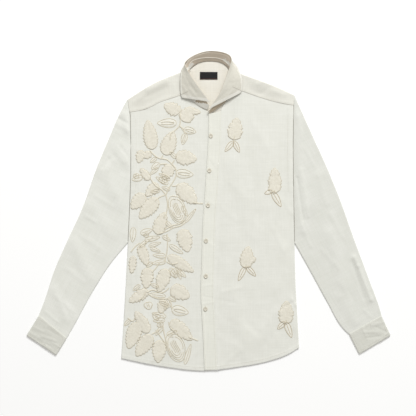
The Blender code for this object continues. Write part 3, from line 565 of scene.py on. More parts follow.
# Button band
# The band is a doubled strip of linen sewn down the left front with a row of stitches at each side,
# cut through with upright buttonholes, and it lies over the right front's edge.
band_linen = linen("doubled linen, button band", "E2E2D8", "F0F0E7")
BAND_CREASES = (
    (203, 286, 214, 284, 3.0, 0.4), (203, 296, 213, 298, 3.0, -0.3), (203, 304, 214, 302, 3.0, 0.4),
    (209, 160, 214, 168, 3.0, -0.4), (207, 200, 216, 206, 4.0, 0.3), (204, 240, 214, 246, 4.0, 0.3))
BAND_TOP = 5.1 * MM
shape = cloth_of("button_band", BAND_TOP, 2.5 * MM, 1.8 * MM)
raise_cloth(shape, lambda x, y: BAND_TOP + ridges(BAND_CREASES, x, y, MM)
            + 0.9 * MM * soft_step(x - band_x(y) + BAND_WIDTH / 2, 6 * MM)
            + waves(x, y, (0.16, 24, 61.2), (0.10, 8, 62.2)))
turn_under(shape, lambda x, y: False, 0.4 * MM, wall=1.4 * MM)
band = add_piece("button_band_cloth", shape, band_linen, ["button_band"], wall=0.6 * MM)

# Collar
# The collar is a doubled stand sewn round the neck with a doubled leaf sewn to its upper edge. The
# leaf turns down outside the stand and lies on the yoke at the back and on the fronts.
collar_linen = linen("interlined linen, collar", "D0CDC0", "E2DFD4", 0.6)
# Painted shade: the inside of the collar is a darker, browner copy of its linen
collar_inside_painted_shade = linen("interlined linen, inside of the collar, painted shade", "C9BCA9", "DCD0C0")
# Painted highlight: the leaf's front and side edges are a lighter copy of the collar's linen
collar_edge_painted_highlight = linen("interlined linen, collar edge, painted highlight", "DEDCD1", "F0EEE6", 0.6)
stand_linen = linen("interlined linen, collar stand", "E0DED4", "EEECE4", 0.6)
# Painted shadow: the stand's outside beneath the leaves is painted dark brown-beige
stand_painted_shadow = linen("painted shadow on the collar stand", "B0A18A", "C4B7A2", 0.6)
COLLAR_CREASES = (
    (182, 85, 190, 97, 3.0, 0.9), (186, 80, 196, 93, 3.5, -0.8), (190, 90, 199, 100, 3.0, 0.6),
    (184, 99, 198, 102, 2.5, -0.5), (183, 76, 188, 84, 3.0, 0.6), (214, 104, 226, 92, 3.5, -0.7),
    (224, 100, 236, 88, 3.0, 0.6), (222, 90, 232, 76, 4.0, 0.6), (228, 84, 238, 82, 3.0, -0.5),
    (214, 98, 220, 86, 3.0, 0.5))
NECK_MIDDLE = Vector((NECK_X, 0.335, 0))
# The leaf's front and side edges, and the two lit ends inside the stand, which are left out of the painted shade
LEAF_FRONTS = (in_mm((4.5, 276.5), (-68.3, 288)),
               in_mm((-2.2, 257), (83.1, 301)))
LEAF_SIDES = (in_mm((-68.3, 288), (-72.4, 330), (-70.4, 350)),
              in_mm((83.1, 301), (86, 322), (85.5, 338), (76, 359)))
LIT_STAND_ENDS = (photo_line(187.6, 69.6, 192.4, 64.6), photo_line(224.5, 60.4, 230.2, 65.6))


def smoothed_copy(node, name):
    """A rounded copy of a CAD node's shape that keeps its edges crisp."""
    shape = merged_copy(node)
    bmesh.ops.join_triangles(shape, faces=shape.faces, angle_face_threshold=0.7, angle_shape_threshold=1.2)
    crisp = shape.edges.layers.float.new("crease_edge")
    pointed = shape.verts.layers.float.new("crease_vert")
    for edge in shape.edges:
        if edge.calc_face_angle(0) > 0.9:
            edge[crisp] = 0.75
    for vert in shape.verts:
        if sum(edge[crisp] > 0 for edge in vert.link_edges) > 2:
            vert[pointed] = 1.0
    rough = put_object(name, finished_mesh(name, shape))
    rounding = rough.modifiers.new("rounding", "SUBSURF")
    rounding.levels = rounding.render_levels = 2
    shape = bmesh.new()
    shape.from_object(rough, bpy.context.evaluated_depsgraph_get())
    bpy.data.meshes.remove(rough.data)
    return shape


for node, flat, area in (("collar_stand", (0.40, 0.028), 0.0095), ("collar_leaf", (0.46, 0.045), 0.0125)):
    shape = smoothed_copy(node, node + " rough")
    shape.normal_update()
    places = np.array([vert.co for vert in shape.verts])
    x, y = places[:, 0], places[:, 1]
    for vert, rise in zip(shape.verts, ridges(COLLAR_CREASES, x, y, MM) + waves(x, y, (0.3, 9, 71.2))):
        vert.co.z += rise * max(vert.normal.z, 0)
    for face in shape.faces:
        middle = face.calc_center_median()
        inward = NECK_MIDDLE - middle
        inward.z = 0
        near = [distance_to(line, np.array([middle.x]), np.array([middle.y]))[0]
                for line in (*LEAF_FRONTS, *LEAF_SIDES, *LIT_STAND_ENDS)]
        # In the neck painted shade, but for the stand's two lit ends; the leaf's edges a painted highlight; the
        # stand's outside under the leaves painted shadow
        if face.normal.dot(inward.normalized()) > 0.3:
            face.material_index = 3 if min(near[4:]) < 3.5 * MM else 1
        elif node == "collar_leaf":
            face.material_index = 2 if min(*near[:2], near[2] + 4 * MM, near[3] + 4 * MM) < 7.5 * MM else 0
        else:
            face.material_index = 4 if middle.x > 0.002 or near[0] < 5.0 * MM and middle.x > -0.032 else 3
    piece = add_piece(node + "_cloth", shape, collar_linen, replaces=[node],
                      others=(collar_inside_painted_shade, collar_edge_painted_highlight, stand_linen, stand_painted_shadow))

# Label
# The label is a small blank piece of black woven tape with a rust-coloured edge, sewn down flat
# inside the back of the neck.
label_cloth = linen("black woven tape", "0B0B0C", "17171A")
shape = smoothed_copy("neck_label", "label rough")
label = add_piece("neck_label_cloth", shape, label_cloth, ["neck_label"])

# Embroidery
# Flowers, leaves and tendrils in cream thread fill the right front, and four sprigs stand on the
# left one. Padded satin stitch raises the full leaves, and couched cord outlines the open ones.
FULL_LEAVES = {
    # stem x, y, tip x, y in the photograph, width in its pixels, lobes on a side
    "right": (
        (179.5, 112.5, 164.2, 105, 12, 3), (183, 121.5, 192, 107.3, 14, 2), (188, 111, 200.5, 112.6, 6, 1),
        (152.6, 149.5, 147.6, 120.5, 13.3, 1), (165, 155, 173.4, 131.5, 14.5, 1),
        (142, 150.5, 138.5, 163, 8, 2), (150.5, 152.5, 144, 158, 7, 1), (175.7, 156.5, 196.8, 159.5, 14.1, 3),
        (171, 165, 164, 179.5, 11.8, 2), (149.5, 180, 140.5, 168.5, 7, 2), (158, 184, 146, 196, 10, 2),
        (144.5, 194.5, 131.5, 208.8, 12.5, 1), (157.4, 198.6, 139.6, 218.6, 13.5, 1),
        (178, 185, 196.4, 203.6, 15.5, 2), (156.6, 234, 165, 212.4, 12.5, 2), (182, 229.6, 188, 252, 14.5, 3),
        (140, 245, 147.6, 266, 9.5, 1), (133.5, 256, 131.6, 273.6, 6.5, 1), (168, 256, 193.5, 271.8, 10.5, 1),
        (148, 268, 146, 288.5, 12, 2), (166.6, 269, 158.5, 292, 12.8, 2), (171, 288, 189.4, 297.4, 14.5, 2),
        (148, 290.5, 129.2, 302, 10, 3), (165, 300, 160, 313, 10, 2), (148.6, 332.6, 135.4, 311.4, 11, 2),
        (171, 320.6, 192, 340.2, 13, 3), (137.6, 322.6, 128.4, 348.6, 14, 1), (151.4, 335, 136.4, 356, 13.5, 1),
        (160, 340.3, 158, 362.6, 13, 1)),
    "left": (
        (233.7, 140, 237, 118, 14.1, 3), (275, 193, 274.5, 168, 12.5, 2), (245.4, 268, 248.5, 246.5, 12.5, 1),
        (248, 261, 256, 258.6, 6, 1), (285.5, 324, 286.6, 301, 14.1, 2), (277, 192, 268, 189, 5, 1))}
OPEN_LEAVES = {
    # stem x, y, tip x, y in the photograph, width in its pixels, veins
    "right": (
        (176.4, 123.2, 157.4, 123.2, 9, 2), (184.2, 129.4, 196, 132.2, 7, 2),
        (185.4, 133.8, 182.6, 144.5, 6, 2), (159.6, 163.5, 151.6, 168.8, 6, 1), (176, 173, 193.3, 174.8, 9, 2),
        (142.5, 177.1, 132.2, 179.8, 6, 1), (168, 184, 156, 177, 5, 1), (170, 180, 159, 173.6, 4, 1),
        (185.4, 222.3, 195.9, 208.8, 3.5, 1), (133.5, 227.6, 132.5, 242, 6, 1),
        (140.8, 233.5, 152.5, 229.5, 6, 1), (145, 240, 160, 237, 5, 1), (149, 246, 161, 242.5, 4, 1),
        (169.5, 245, 183, 253.5, 5, 1), (166, 256, 153, 255, 5, 1), (166, 261.5, 152, 263.5, 5, 1),
        (150.6, 248, 160.4, 251.6, 4, 1), (170, 268, 176, 278, 5, 1), (177, 268, 181, 279, 4, 1),
        (165.5, 296, 148.5, 294, 5, 1), (172, 309, 188.5, 312.7, 10, 2), (166, 316.5, 152, 313, 5, 1),
        (165, 320, 153.4, 320.6, 5, 1), (160, 302, 171, 306.6, 4, 1), (184.9, 364, 191, 344, 4.5, 1),
        (130, 320, 124.4, 325.5, 4, 1), (167, 334.6, 177, 330.6, 4.5, 1), (158, 168, 150, 174.6, 4, 1),
        (170, 190, 162, 187, 4, 1), (176, 158, 170, 152, 4, 1), (160, 190.6, 150.6, 192, 4, 1),
        (182, 206, 187.4, 216, 4, 1), (166, 222, 172.6, 228, 4, 1), (140, 285, 133, 290.6, 4, 1),
        (163, 326, 156, 335, 4.5, 1), (178.6, 271, 186, 277, 4, 1), (168.4, 299.6, 164.6, 309.4, 4, 1),
        (146.6, 241, 139.6, 247.4, 4, 1), (162.6, 236, 170.4, 240.8, 4, 1), (158.6, 287, 150.6, 284, 4, 1),
        (168.8, 297.4, 176, 301.2, 4, 1), (152.6, 262.4, 146.4, 266.8, 4, 1), (156.4, 158, 150.4, 162.4, 4, 1)),
    "left": (
        (233.4, 141.5, 225, 151.5, 5, 1), (234, 141.5, 239.4, 152.4, 5, 1), (272, 191, 264.6, 193.6, 4, 0),
        (272.5, 192, 281, 206.6, 6, 1), (245, 267, 238.4, 280.6, 5, 1), (247, 267, 255.6, 276, 5, 1),
        (285.5, 322, 291.6, 337.3, 6, 1), (285, 322, 277.6, 328.9, 5, 1))}
TENDRILS = {
    # x, y, x, y and so on in the photograph
    "right": (
        (180, 106, 180, 112, 180.4, 120, 179.4, 126, 175, 130.6), (175, 130.6, 171, 134, 170, 140),
        (179.4, 126, 184.4, 129.6), (181, 127, 185.6, 134),
        (150, 150.5, 153, 154, 158.5, 158, 167.4, 160, 172, 164), (163, 155.6, 161, 159),
        (172, 164, 175.4, 168, 176.4, 174, 173, 182, 169, 188, 166, 195), (174.6, 160, 172, 164),
        (167, 164, 160, 164.4), (166, 195, 160, 197, 155, 201), (166, 195, 167.6, 204, 166.6, 212, 164, 218),
        (150, 178, 156, 186, 162, 190, 166, 195), (172, 186, 176, 186, 179, 184),
        (193, 202.4, 198, 203.4, 203, 203.6), (186, 222, 181, 225.6, 174, 227.6, 166, 231.6, 156.6, 234.4),
        (184, 220, 180, 223.6, 173, 225.4, 165, 229.4), (167, 234, 167.6, 244, 166.6, 254, 164.6, 262),
        (140, 246, 147, 242, 153, 237), (131, 252, 136, 246, 140, 243), (160, 262, 156, 268, 152, 272),
        (167, 262, 171, 264, 178, 263), (148.6, 294, 154, 297.4, 160, 299, 168, 298.4),
        (168, 298.4, 171, 303, 172, 309), (146, 292, 143, 297, 139, 300),
        (163, 322, 163.6, 330, 166, 340, 170, 352), (156, 330, 161, 337, 167, 346, 171, 356),
        (152, 334, 156, 332, 163, 327), (128, 318, 133, 321, 136, 317), (188.6, 337, 198, 340.6),
        (168.6, 322, 170, 327, 174, 331), (147, 292, 153, 290, 159, 292), (169, 288, 164, 292, 160, 293)),
    "left": (
        (234.4, 136.6, 233.7, 141.6), (274.6, 190.4, 272.4, 192), (246.4, 265, 246, 267.6),
        (286.4, 320, 285.6, 322.6))}
FLOWERS = {
    # centre x, y, half its width and height in the photograph, turn in degrees, petals in a ring
    "right": (
        (177.1, 209.4, 8.6, 15.0, 18, 5), (175.6, 347.0, 9.6, 15.4, 22, 5), (148.4, 305.4, 4.4, 3.8, 0, 3),
        (174.5, 273.0, 3.8, 4.8, 30, 3), (163.4, 179.6, 4.4, 3.6, 10, 3), (136.4, 176.0, 3.0, 2.6, 0, 3),
        (160.4, 324.4, 3.4, 2.8, 30, 3), (146.4, 235.0, 2.8, 2.2, 20, 3), (156.4, 316.4, 4.2, 3.2, -20, 3)),
    "left": ()}

LEAF_TOOTH = 3.8 * MM
TOOTH_PITCH = 8.4 * MM


def leaf_frame(row):
    """A leaf's stem, the ways along and across it, its length and its width, from its row in a table."""
    stem, tip = np.array(spot(*row[:2])), np.array(spot(*row[2:4]))
    length = np.linalg.norm(tip - stem)
    ahead = (tip - stem) / length
    return stem, ahead, np.array((-ahead[1], ahead[0])), length, row[4] * PIXEL


def leaf_half(along, length, width, lobes, tooth):
    """Half a leaf's width from its stem at 0 to its tip at 1, with its lobes and the teeth of its edge."""
    half = (width / 2 - 0.3 * tooth) * np.sin(math.pi * np.clip(along, 0, 1) ** 0.72) ** 0.66
    if lobes > 1:
        half = half * (1.04 - 0.15 * np.cos(math.pi * (lobes + 1) * along) ** 4)
    return half + tooth * (along * length / TOOTH_PITCH % 1.0) ** 1.3 * np.abs(np.sin(math.pi * along)) ** 0.4


def surface_of(*pieces):
    """The surfaces of some pieces, to lay other things on."""
    shape = bmesh.new()
    for piece in pieces:
        shape.from_object(piece, bpy.context.evaluated_depsgraph_get())
    tree = BVHTree.FromBMesh(shape)
    shape.free()
    return tree


def height_on(tree, x, y, otherwise=BODY_TOP):
    """The highest point of the surfaces at a place."""
    hit = tree.ray_cast(Vector((x, y, 0.1)), Vector((0, 0, -1)))[0]
    return hit.z if hit else otherwise


def add_leaf(shape, tree, row, rise, tooth, lobes):
    """Sew a raised leaf in satin stitch onto the cloth, with the way of its stitches in the UV map."""
    stem, ahead, aside, length, width = leaf_frame(row)
    part = bmesh.new()
    bmesh.ops.create_grid(part, x_segments=max(10, round(length / (1.0 * MM))), y_segments=16, size=1)
    stitches = part.loops.layers.uv.verify()
    threads = {}
    for vert in part.verts:
        along, over = (vert.co.x + 1) / 2, math.sin(vert.co.y * QUARTER)
        run = along * length
        half = float(leaf_half(along, length, width, lobes, tooth))
        across = over * half
        notch = math.cos(math.pi * (lobes + 1) * along) ** 8 if lobes > 1 and 0.08 < along < 0.92 else 0.0
        inward = max(half - abs(across), 0)
        up = rise * (1 - math.exp(-inward / (0.55 * MM))) + 0.25 * rise * (1 - over * over)
        up -= 0.45 * MM * math.exp(-(across / (0.8 * MM)) ** 2) + 0.30 * MM * notch * abs(over)
        x, y = stem + ahead * run + aside * across
        up += 0.14 * MM * math.sin(2 * math.pi * (run - 0.5 * abs(across)) / (3.2 * MM))
        up += rise * 0.22 * noise.noise((x / (3.4 * MM), y / (3.4 * MM), 2.2))
        vert.co = (x, y, height_on(tree, x, y) + (up if inward > 0.05 * MM else -0.3 * MM))
        threads[vert] = (run - 0.5 * abs(across), across)
    for face in part.faces:
        for loop in face.loops:
            loop[stitches].uv = threads[loop.vert]
    shape.loops.layers.uv.verify()
    join(shape, part)


def add_cords(name, lines, tree, radius, material, lift=0.2 * MM):
    """Lay cords of one thickness along lines on a surface; a closed line starts and ends alike."""
    course = bpy.data.curves.new(name + " course", "CURVE")
    course.dimensions, course.bevel_depth, course.bevel_resolution = "3D", radius, 1
    for line in lines:
        closed = math.dist(line[0], line[-1]) < 0.01 * MM
        points = line[:-1] if closed else line
        spline = course.splines.new("POLY")
        spline.points.add(len(points) - 1)
        spline.use_cyclic_u = closed
        for point, (x, y) in zip(spline.points, points):
            point.co = (x, y, height_on(tree, x, y) + lift, 1)
    laid = put_object(name + " course", course)
    mesh = bpy.data.meshes.new_from_object(laid.evaluated_get(bpy.context.evaluated_depsgraph_get()))
    shape = bmesh.new()
    shape.from_mesh(mesh)
    bpy.data.meshes.remove(mesh)
    bpy.data.curves.remove(course)
    return add_piece(name, shape, material)


def thread(name, dark, light, pitch=1.4 * MM, follows="Object"):
    """Six-strand embroidery cotton: a soft lustre along its strands, and a little uneven in colour."""
    material = new_material(name, {"Roughness": 0.6, "Sheen Weight": 0.15})
    along, place = (add_node(material, "TexCoord", out=out) for out in (follows, "Object"))
    # Strands are 0.5 mm wide; they are drawn coarser, so that they show as ridges
    strands = add_node(material, "TexWave", {"Vector": along, "Scale": WAVE / pitch, "Distortion": 1.2,
                                             "Detail": 1.0}, "Fac",
                       bands_direction="X" if follows == "UV" else "DIAGONAL")
    patches = add_node(material, "TexNoise", {"Vector": place, "Scale": 260.0, "Detail": 3.0}, "Fac")
    share = add_node(material, "Math", {0: strands, 1: 0.45, 2: patches}, operation="MULTIPLY_ADD")
    return paint(material, share, dark, light, strands, 0.6, 0.35 * MM)


def leaf_line(row, lobes=1, tooth=0.0, spare=0.0):
    """The closed outline of a leaf, from its stem round its tip and back."""
    stem, ahead, aside, length, width = leaf_frame(row)
    along = np.linspace(0, 1, max(8, round(length / (0.9 * MM))))
    half = leaf_half(along, length, width, lobes, tooth) + spare
    middle = stem + np.outer(along * length, ahead)
    line = np.concatenate((middle + np.outer(half, aside), (middle - np.outer(half, aside))[-2::-1]))
    return np.append(line, line[:1], axis=0)


def flower_lines(px, py, half_wide, half_tall, degrees, petals):
    """The stitched lines of a flower seen from above: its petals, and the stripes in its heart."""
    lines, lean = [], math.radians(degrees)

    def laid(a, b):
        x = px + a * half_wide * math.cos(lean) + b * half_tall * math.sin(lean)
        return np.stack(spot(x, py - a * half_wide * math.sin(lean) + b * half_tall * math.cos(lean)), axis=1)

    def arc(start, end, size, bulge=0.10):
        share = np.linspace(0, 1, 16)
        swing, out = np.radians(start + (end - start) * share), size * (1 - bulge + bulge * np.sin(math.pi * share))
        lines.append(laid(out * np.cos(swing), out * np.sin(swing)))

    if petals > 3:
        # Long petals lie one in another below and to the left, and shorter ones close over them
        for start, end, size in ((30, 205, 1.0), (38, 196, 0.86), (48, 186, 0.71), (-75, 36, 0.98), (-62, 24, 0.80),
                                 (196, 292, 0.97), (206, 286, 0.76), (60, 170, 0.55)):
            arc(start, end, size)
        for shift in (-0.26, -0.09, 0.08, 0.25):
            b = np.linspace(-0.46, 0.40, 9) * math.sqrt(1 - 4 * shift * shift)
            lines.append(laid(shift + 0.05 * np.sin(6 * b), b))
    else:
        for petal in range(3):
            arc(120 * petal, 120 * petal + 150, 1.0, 0.24)
        for shift in (-0.2, 0.2):
            b = np.linspace(-0.4, 0.4, 6)
            lines.append(laid(shift + 0.1 * np.sin(4 * b), b))
    return lines


satin = thread("cream satin stitch", "D2CCB9", "ECE8DB", 2.8 * MM, "UV")
pale_satin = thread("pale flat stitch", "E6E4D8", "F2F0E6", follows="UV")
# The cords round the full leaves are real, and their darker colour is painted shade at the leaves' raised edges
edge_thread_painted_shade = thread("beige edge stitch, painted shade", "C2B79E", "D3CAB5")
stem_thread = thread("cream couched cord", "D2CBB6", "E2DCCB")
cord_thread = {"right": thread("beige couched cord", "CCC3AB", "DAD2BD"),
               "left": thread("brown-beige couched cord", "B9AB8F", "CEC2A9")}
for side in ("right", "left"):
    ground = surface_of(front_pieces[side])
    full, pale = bmesh.new(), bmesh.new()
    for row in FULL_LEAVES[side]:
        add_leaf(full, ground, row, 1.4 * MM, LEAF_TOOTH, row[5])
    flat_rows = [(*row[:4], row[4] * 0.86) for row in OPEN_LEAVES[side]]
    for px, py, half_wide, half_tall, degrees, petals in FLOWERS[side]:
        lean = math.radians(degrees)
        dx, dy = half_tall * math.sin(lean), half_tall * math.cos(lean)
        flat_rows.append((px - dx, py - dy, px + dx, py + dy, half_wide * 1.8))
    for row in flat_rows:
        add_leaf(pale, ground, row, 0.5 * MM, 0.0, 1)
    leaves = add_piece("embroidery_full_%s" % side, full, satin)
    flat = add_piece("embroidery_pale_%s" % side, pale, pale_satin)
    # Cords round the full leaves, darker as painted shade at their edges
    edges = [leaf_line(row, row[5], LEAF_TOOTH, 0.2 * MM) for row in FULL_LEAVES[side]]
    add_cords("embroidery_edges_%s" % side, edges, ground, 0.5 * MM, edge_thread_painted_shade)
    raised = surface_of(front_pieces[side], leaves, flat)
    lines = [leaf_line(row) for row in OPEN_LEAVES[side]]
    for row in OPEN_LEAVES[side]:
        stem, ahead, aside, length, width = leaf_frame(row)
        share = np.linspace(0.12, 0.8, max(4, round(length / (2.5 * MM))))
        for vein in range(row[5]):
            shift = (vein - (row[5] - 1) / 2) * 0.30 * width
            bend = np.sin(math.pi * share) * shift
            lines.append(stem + np.outer(share * length, ahead) + np.outer(bend, aside))
    for flower in FLOWERS[side]:
        lines += flower_lines(*flower)
    add_cords("embroidery_cords_%s" % side, lines, raised, 0.7 * MM, cord_thread[side], 0.3 * MM)
    stems = [drawn(photo_line(*line), 1.5 * MM) for line in TENDRILS[side]]
    add_cords("embroidery_stems_%s" % side, stems, raised, 2.3 * MM, stem_thread, -1.0 * MM)

# Seams and topstitching
# The sleeves are set into the armholes with a seam whose turned edges fill it from below, drawn as a
# dark cord in painted shade. Rows of stitches in matching thread hold the band, the hem, the yoke, the cuffs and
# the collar's edge.
ROLL_SEAM = in_mm(
    (-56.6, 364), (-60, 374.8), (-51.4, 384.2), (-37.2, 393), (-19, 400.6), (1.7, 405.1), (24.3, 403.6),
    (43.9, 398.9), (54.5, 391.5), (57.6, 385), (54.8, 364.5))
COLLAR_EDGE = in_mm(
    # fold x, y, leaf edge x, y, from the right front end round to the left one
    (4.5, 276.5, -68.3, 288), (-9, 293, -71.2, 299), (-20.5, 308.5, -72.2, 312), (-36.5, 330.5, -72.4, 330),
    (-52.5, 356, -70.4, 350))
COLLAR_EDGE_LEFT = in_mm(
    (54, 366, 76, 359), (40, 330, 85.5, 338), (32.5, 306, 86, 322), (16, 280, 85.2, 310), (-2.2, 257, 83.1, 301))


def add_stitches(shape, tree, line, pitch=3.6 * MM):
    """Sew a row of stitches along a line on a surface, each a short bead of thread."""
    # Sewing thread is 0.3 mm thick; the stitches are drawn at 0.8 mm, so that the rows show
    line, row = drawn(line, pitch), bmesh.new()
    for start, end in zip(line[:-1], line[1:]):
        low, high = height_on(tree, *start, None), height_on(tree, *end, None)
        if low is None or high is None or abs(high - low) > 2 * MM:
            continue
        along = Vector((end[0] - start[0], end[1] - start[1], high - low))
        middle = Vector(((start[0] + end[0]) / 2, (start[1] + end[1]) / 2, (low + high) / 2))
        turn = along.to_track_quat("Z", "Y").to_matrix().to_4x4()
        size = Matrix.Diagonal((0.40 * MM, 0.25 * MM, 0.37 * pitch, 1))
        bmesh.ops.create_uvsphere(row, u_segments=5, v_segments=4, radius=1,
                                  matrix=Matrix.Translation(middle) @ turn @ size)
    join(shape, row)


def inset(outline, depth):
    """A closed outline moved inwards, without the places where it would cross itself."""
    ahead = np.roll(outline, -1, axis=0) - np.roll(outline, 1, axis=0)
    moved = outline + np.stack([-ahead[:, 1], ahead[:, 0]], axis=1) / np.linalg.norm(ahead, axis=1)[:, None] * depth
    closed = np.append(outline, outline[:1], axis=0)
    kept = moved[distance_to(closed, moved[:, 0], moved[:, 1]) > 0.97 * depth]
    return np.append(kept, kept[:1], axis=0)


sewing_thread = thread("cream sewing thread", "D0CBBC", "DDD9CC", 1.0 * MM)
shirt_top = surface_of(*[piece for piece in bpy.data.objects if piece.name.endswith("_cloth")])
stitched = [drawn(BAND_LINE, 10 * MM) + (shift * MM, 0) for shift in (-13.2, 13.2)]
stitched.append(HEM[1:-1] + (0, 8 * MM))
stitched += [seam + (0, 3 * MM) for seam in YOKE_SEAMS.values()]
for side, inward in (("right", 14 * MM), ("left", -14 * MM)):
    stitched.append(inset(evened(cloth_outline("cuff_" + side, CUFF_TOP), 3 * MM), 4 * MM))
    stitched.append([(side_x(side, y) + inward, y) for y in np.linspace(0.235, ARMHOLE_LOW_Y, 24)])
for edge in (COLLAR_EDGE, COLLAR_EDGE_LEFT):
    fold, rim = edge[:, :2], edge[:, 2:]
    stitched.append(rim + (fold - rim) / np.linalg.norm(fold - rim, axis=1)[:, None] * 5 * MM)
stitched.append(photo_line(192, 72, 200, 70.6, 212, 70.2, 226, 71))
rows = bmesh.new()
for line in stitched:
    add_stitches(rows, shirt_top, line)
add_piece("topstitching", rows, sewing_thread)

level = BVHTree.FromPolygons([(-1, -1, 0), (1, -1, 0), (1, 1, 0), (-1, 1, 0)], [(0, 1, 2, 3)])
armholes = [np.array([(side_x(side, y), y) for y in np.linspace(top, SEAM_LOW_Y, 90)])
            for side, top in (("right", 0.280), ("left", 0.282))]
# Painted shade: the armhole cords are dark grey where the seam lies in shade
add_cords("armhole_seams", armholes, level, 1.2 * MM, linen("linen seam, painted shade", "88847A", "98948A"), 1.7 * MM)
# The cord in the gap between the stand's top and the leaf takes the same painted shade
add_cords("collar_roll_seam", [drawn(ROLL_SEAM, 3 * MM)], level, 1.3 * MM, collar_inside_painted_shade, 17.2 * MM)
yoke_seams = [drawn(seam - (0, 0.6 * MM), 3 * MM) for seam in YOKE_SEAMS.values()]
# The yoke seams are real, and the cords' darker colour is partly painted shade in the seam
add_cords("yoke_seams", yoke_seams, shirt_top, 0.55 * MM, linen("linen seam at the yoke, partly painted shade", "B4B0A4", "C6C2B7"), 0.0)
collar_seam = photo_line(188.6, 66, 192, 61.8, 200, 58.8, 209, 58.0, 218, 58.6, 224, 60.8, 228, 64.6)
# The stand's seam inside the neck is a real cord, coloured pale as a painted highlight
add_cords("collar_seam", [drawn(collar_seam, 2 * MM)], shirt_top, 0.8 * MM, inside_linen_painted_light, 0.0)
label_line = drawn(photo_line(200.4, 79.2, 217.2, 79.0), 2 * MM)
rust_thread = thread("rust woven edge", "5E3A31", "72493E", 1.0 * MM)
add_cords("label_edge", [label_line], surface_of(label), 0.5 * MM, rust_thread, 0.0)

# Buttons
# Six round four-hole buttons of trochus shell, 10.6 mm across, turned with a rim and a shallow
# dish, polished, and sewn with two parallel strands. Each comes through an upright buttonhole.
BUTTONS = in_mm(
    (5.6, 191.4), (2, 102.9), (-1.5, 14.4), (-6.6, -76.1), (-7.1, -165.9), (-7.9, -249.3))
BUTTON_PROFILE = (
    # radius and height above its underside, mm
    (0.0, 1.35), (2.4, 1.35), (3.1, 1.55), (3.7, 2.05), (4.3, 2.2), (4.9, 2.0), (5.3, 1.5), (5.3, 0.9),
    (4.9, 0.3), (3.2, 0.0), (0.0, 0.0))
HOLE_REACH = 1.25 * MM
shell = new_material("polished trochus shell", {"Roughness": 0.28, "IOR": 1.53})
# Shell grows in layers, cut here into wavy bands about 1.5 mm apart
layers = add_node(shell, "TexWave", {"Vector": add_node(shell, "TexCoord", out="Object"),
                                     "Scale": WAVE / (1.5 * MM), "Distortion": 6.0, "Detail": 2.0,
                                     "Detail Scale": 1.5}, "Fac", bands_direction="DIAGONAL")
paint(shell, layers, "CBC4B2", "E6E1D3")
blank = bmesh.new()
profile = [blank.verts.new((r * MM, 0, z * MM)) for r, z in BUTTON_PROFILE]
rim = [blank.edges.new(pair) for pair in zip(profile[:-1], profile[1:])]
bmesh.ops.spin(blank, geom=profile + rim, cent=(0, 0, 0), axis=(0, 0, 1), angle=4 * QUARTER, steps=28,
               use_merge=True)
bmesh.ops.remove_doubles(blank, verts=blank.verts, dist=0.001 * MM)
bmesh.ops.recalc_face_normals(blank, faces=blank.faces)
drill = bmesh.new()
for turn in range(4):
    hole = bmesh.ops.create_cone(drill, cap_ends=True, segments=12, radius1=0.6 * MM, radius2=0.6 * MM,
                                 depth=6 * MM)
    way = QUARTER * (turn + 0.5)
    bmesh.ops.translate(drill, verts=hole["verts"], vec=(HOLE_REACH * math.cos(way) * 1.414,
                                                         HOLE_REACH * math.sin(way) * 1.414, MM))
whole, holes = (put_object(name, finished_mesh(name, shape))
                for name, shape in (("button blank", blank), ("drilled holes", drill)))
cut = whole.modifiers.new("holes", "BOOLEAN")
cut.object, cut.operation, cut.solver = holes, "DIFFERENCE", "EXACT"
drilled = bmesh.new()
drilled.from_object(whole, bpy.context.evaluated_depsgraph_get())
turned = finished_mesh("turned button", drilled)
bpy.data.objects.remove(whole)
bpy.data.objects.remove(holes)
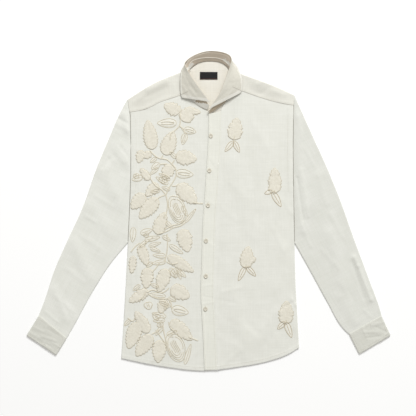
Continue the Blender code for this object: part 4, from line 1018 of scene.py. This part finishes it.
for number, (x, y) in enumerate(BUTTONS, 1):
    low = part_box("button_%d" % number)[0][2]
    shape = bmesh.new()
    shape.from_mesh(turned)
    for over in (-HOLE_REACH, HOLE_REACH):
        strand = bmesh.ops.create_uvsphere(shape, u_segments=8, v_segments=6, radius=1)["verts"]
        bmesh.ops.scale(shape, verts=strand, vec=(0.45 * MM, 1.75 * MM, 0.45 * MM))
        bmesh.ops.translate(shape, verts=strand, vec=(over, 0, 1.45 * MM))
        for face in {face for vert in strand for face in vert.link_faces}:
            face.material_index = 1
    bmesh.ops.rotate(shape, verts=shape.verts, cent=(0, 0, 0),
                     matrix=Vector((math.sin(number * 1.7) * 0.3, 1, 0)).to_track_quat("Y", "Z").to_matrix())
    bmesh.ops.translate(shape, verts=shape.verts, vec=(x, y, low))
    add_piece("shell_button_%d" % number, shape, shell, ["button_%d" % number],
              others=[sewing_thread])
swing = np.linspace(0, 4 * QUARTER, 21)
buttonholes = [np.stack([x + 1.0 * MM * np.cos(swing), y + 7.5 * MM * np.sin(swing)], axis=1) for x, y in BUTTONS]
add_cords("buttonholes", buttonholes, surface_of(band), 0.5 * MM, sewing_thread, -0.2 * MM)

# Floor, light and camera
# The shirt lies on a white sheet of paper under one large soft lamp beyond the neck, in a bright
# white room, and the camera looks straight down on it.
paper = new_material("white paper", {"Base Color": linear("FFFFFF"), "Roughness": 1.0, "Specular IOR Level": 0.0,
                                     "Emission Color": (1, 1, 1, 1), "Emission Strength": 0.03})
ground = bmesh.new()
bmesh.ops.create_grid(ground, x_segments=1, y_segments=1, size=6)
bmesh.ops.translate(ground, verts=ground.verts, vec=(0, 0, -0.2 * MM))
sheet = finished_mesh("floor", ground)
sheet.materials.append(paper)
floor = put_object("floor", sheet)

lamp = bpy.data.lights.new("soft lamp", "AREA")
lamp.shape, lamp.size, lamp.energy, lamp.color = "DISK", 2.8, 410, (0.985, 0.995, 1.0)
soft = put_object("soft lamp", lamp)
soft.location = (1.3, 5.4, 4.8)
soft.rotation_euler = (-soft.location).to_track_quat("-Z", "Y").to_euler()
room = bpy.data.worlds.new("white room")
room.use_nodes = True
background = room.node_tree.nodes["Background"]
background.inputs["Color"].default_value = (1.0, 0.985, 0.955, 1)
background.inputs["Strength"].default_value = 0.52
bpy.context.scene.world = room
bpy.context.scene.view_settings.view_transform = "Standard"

view = bpy.data.cameras.new("camera")
view.lens, view.sensor_width = 36 * 4.0 / 1.0608, 36
camera = put_object("camera", view)
camera.location = (-0.0015, 0.0075, 4.0)
bpy.context.scene.camera = camera

bpy.context.view_layer.update()
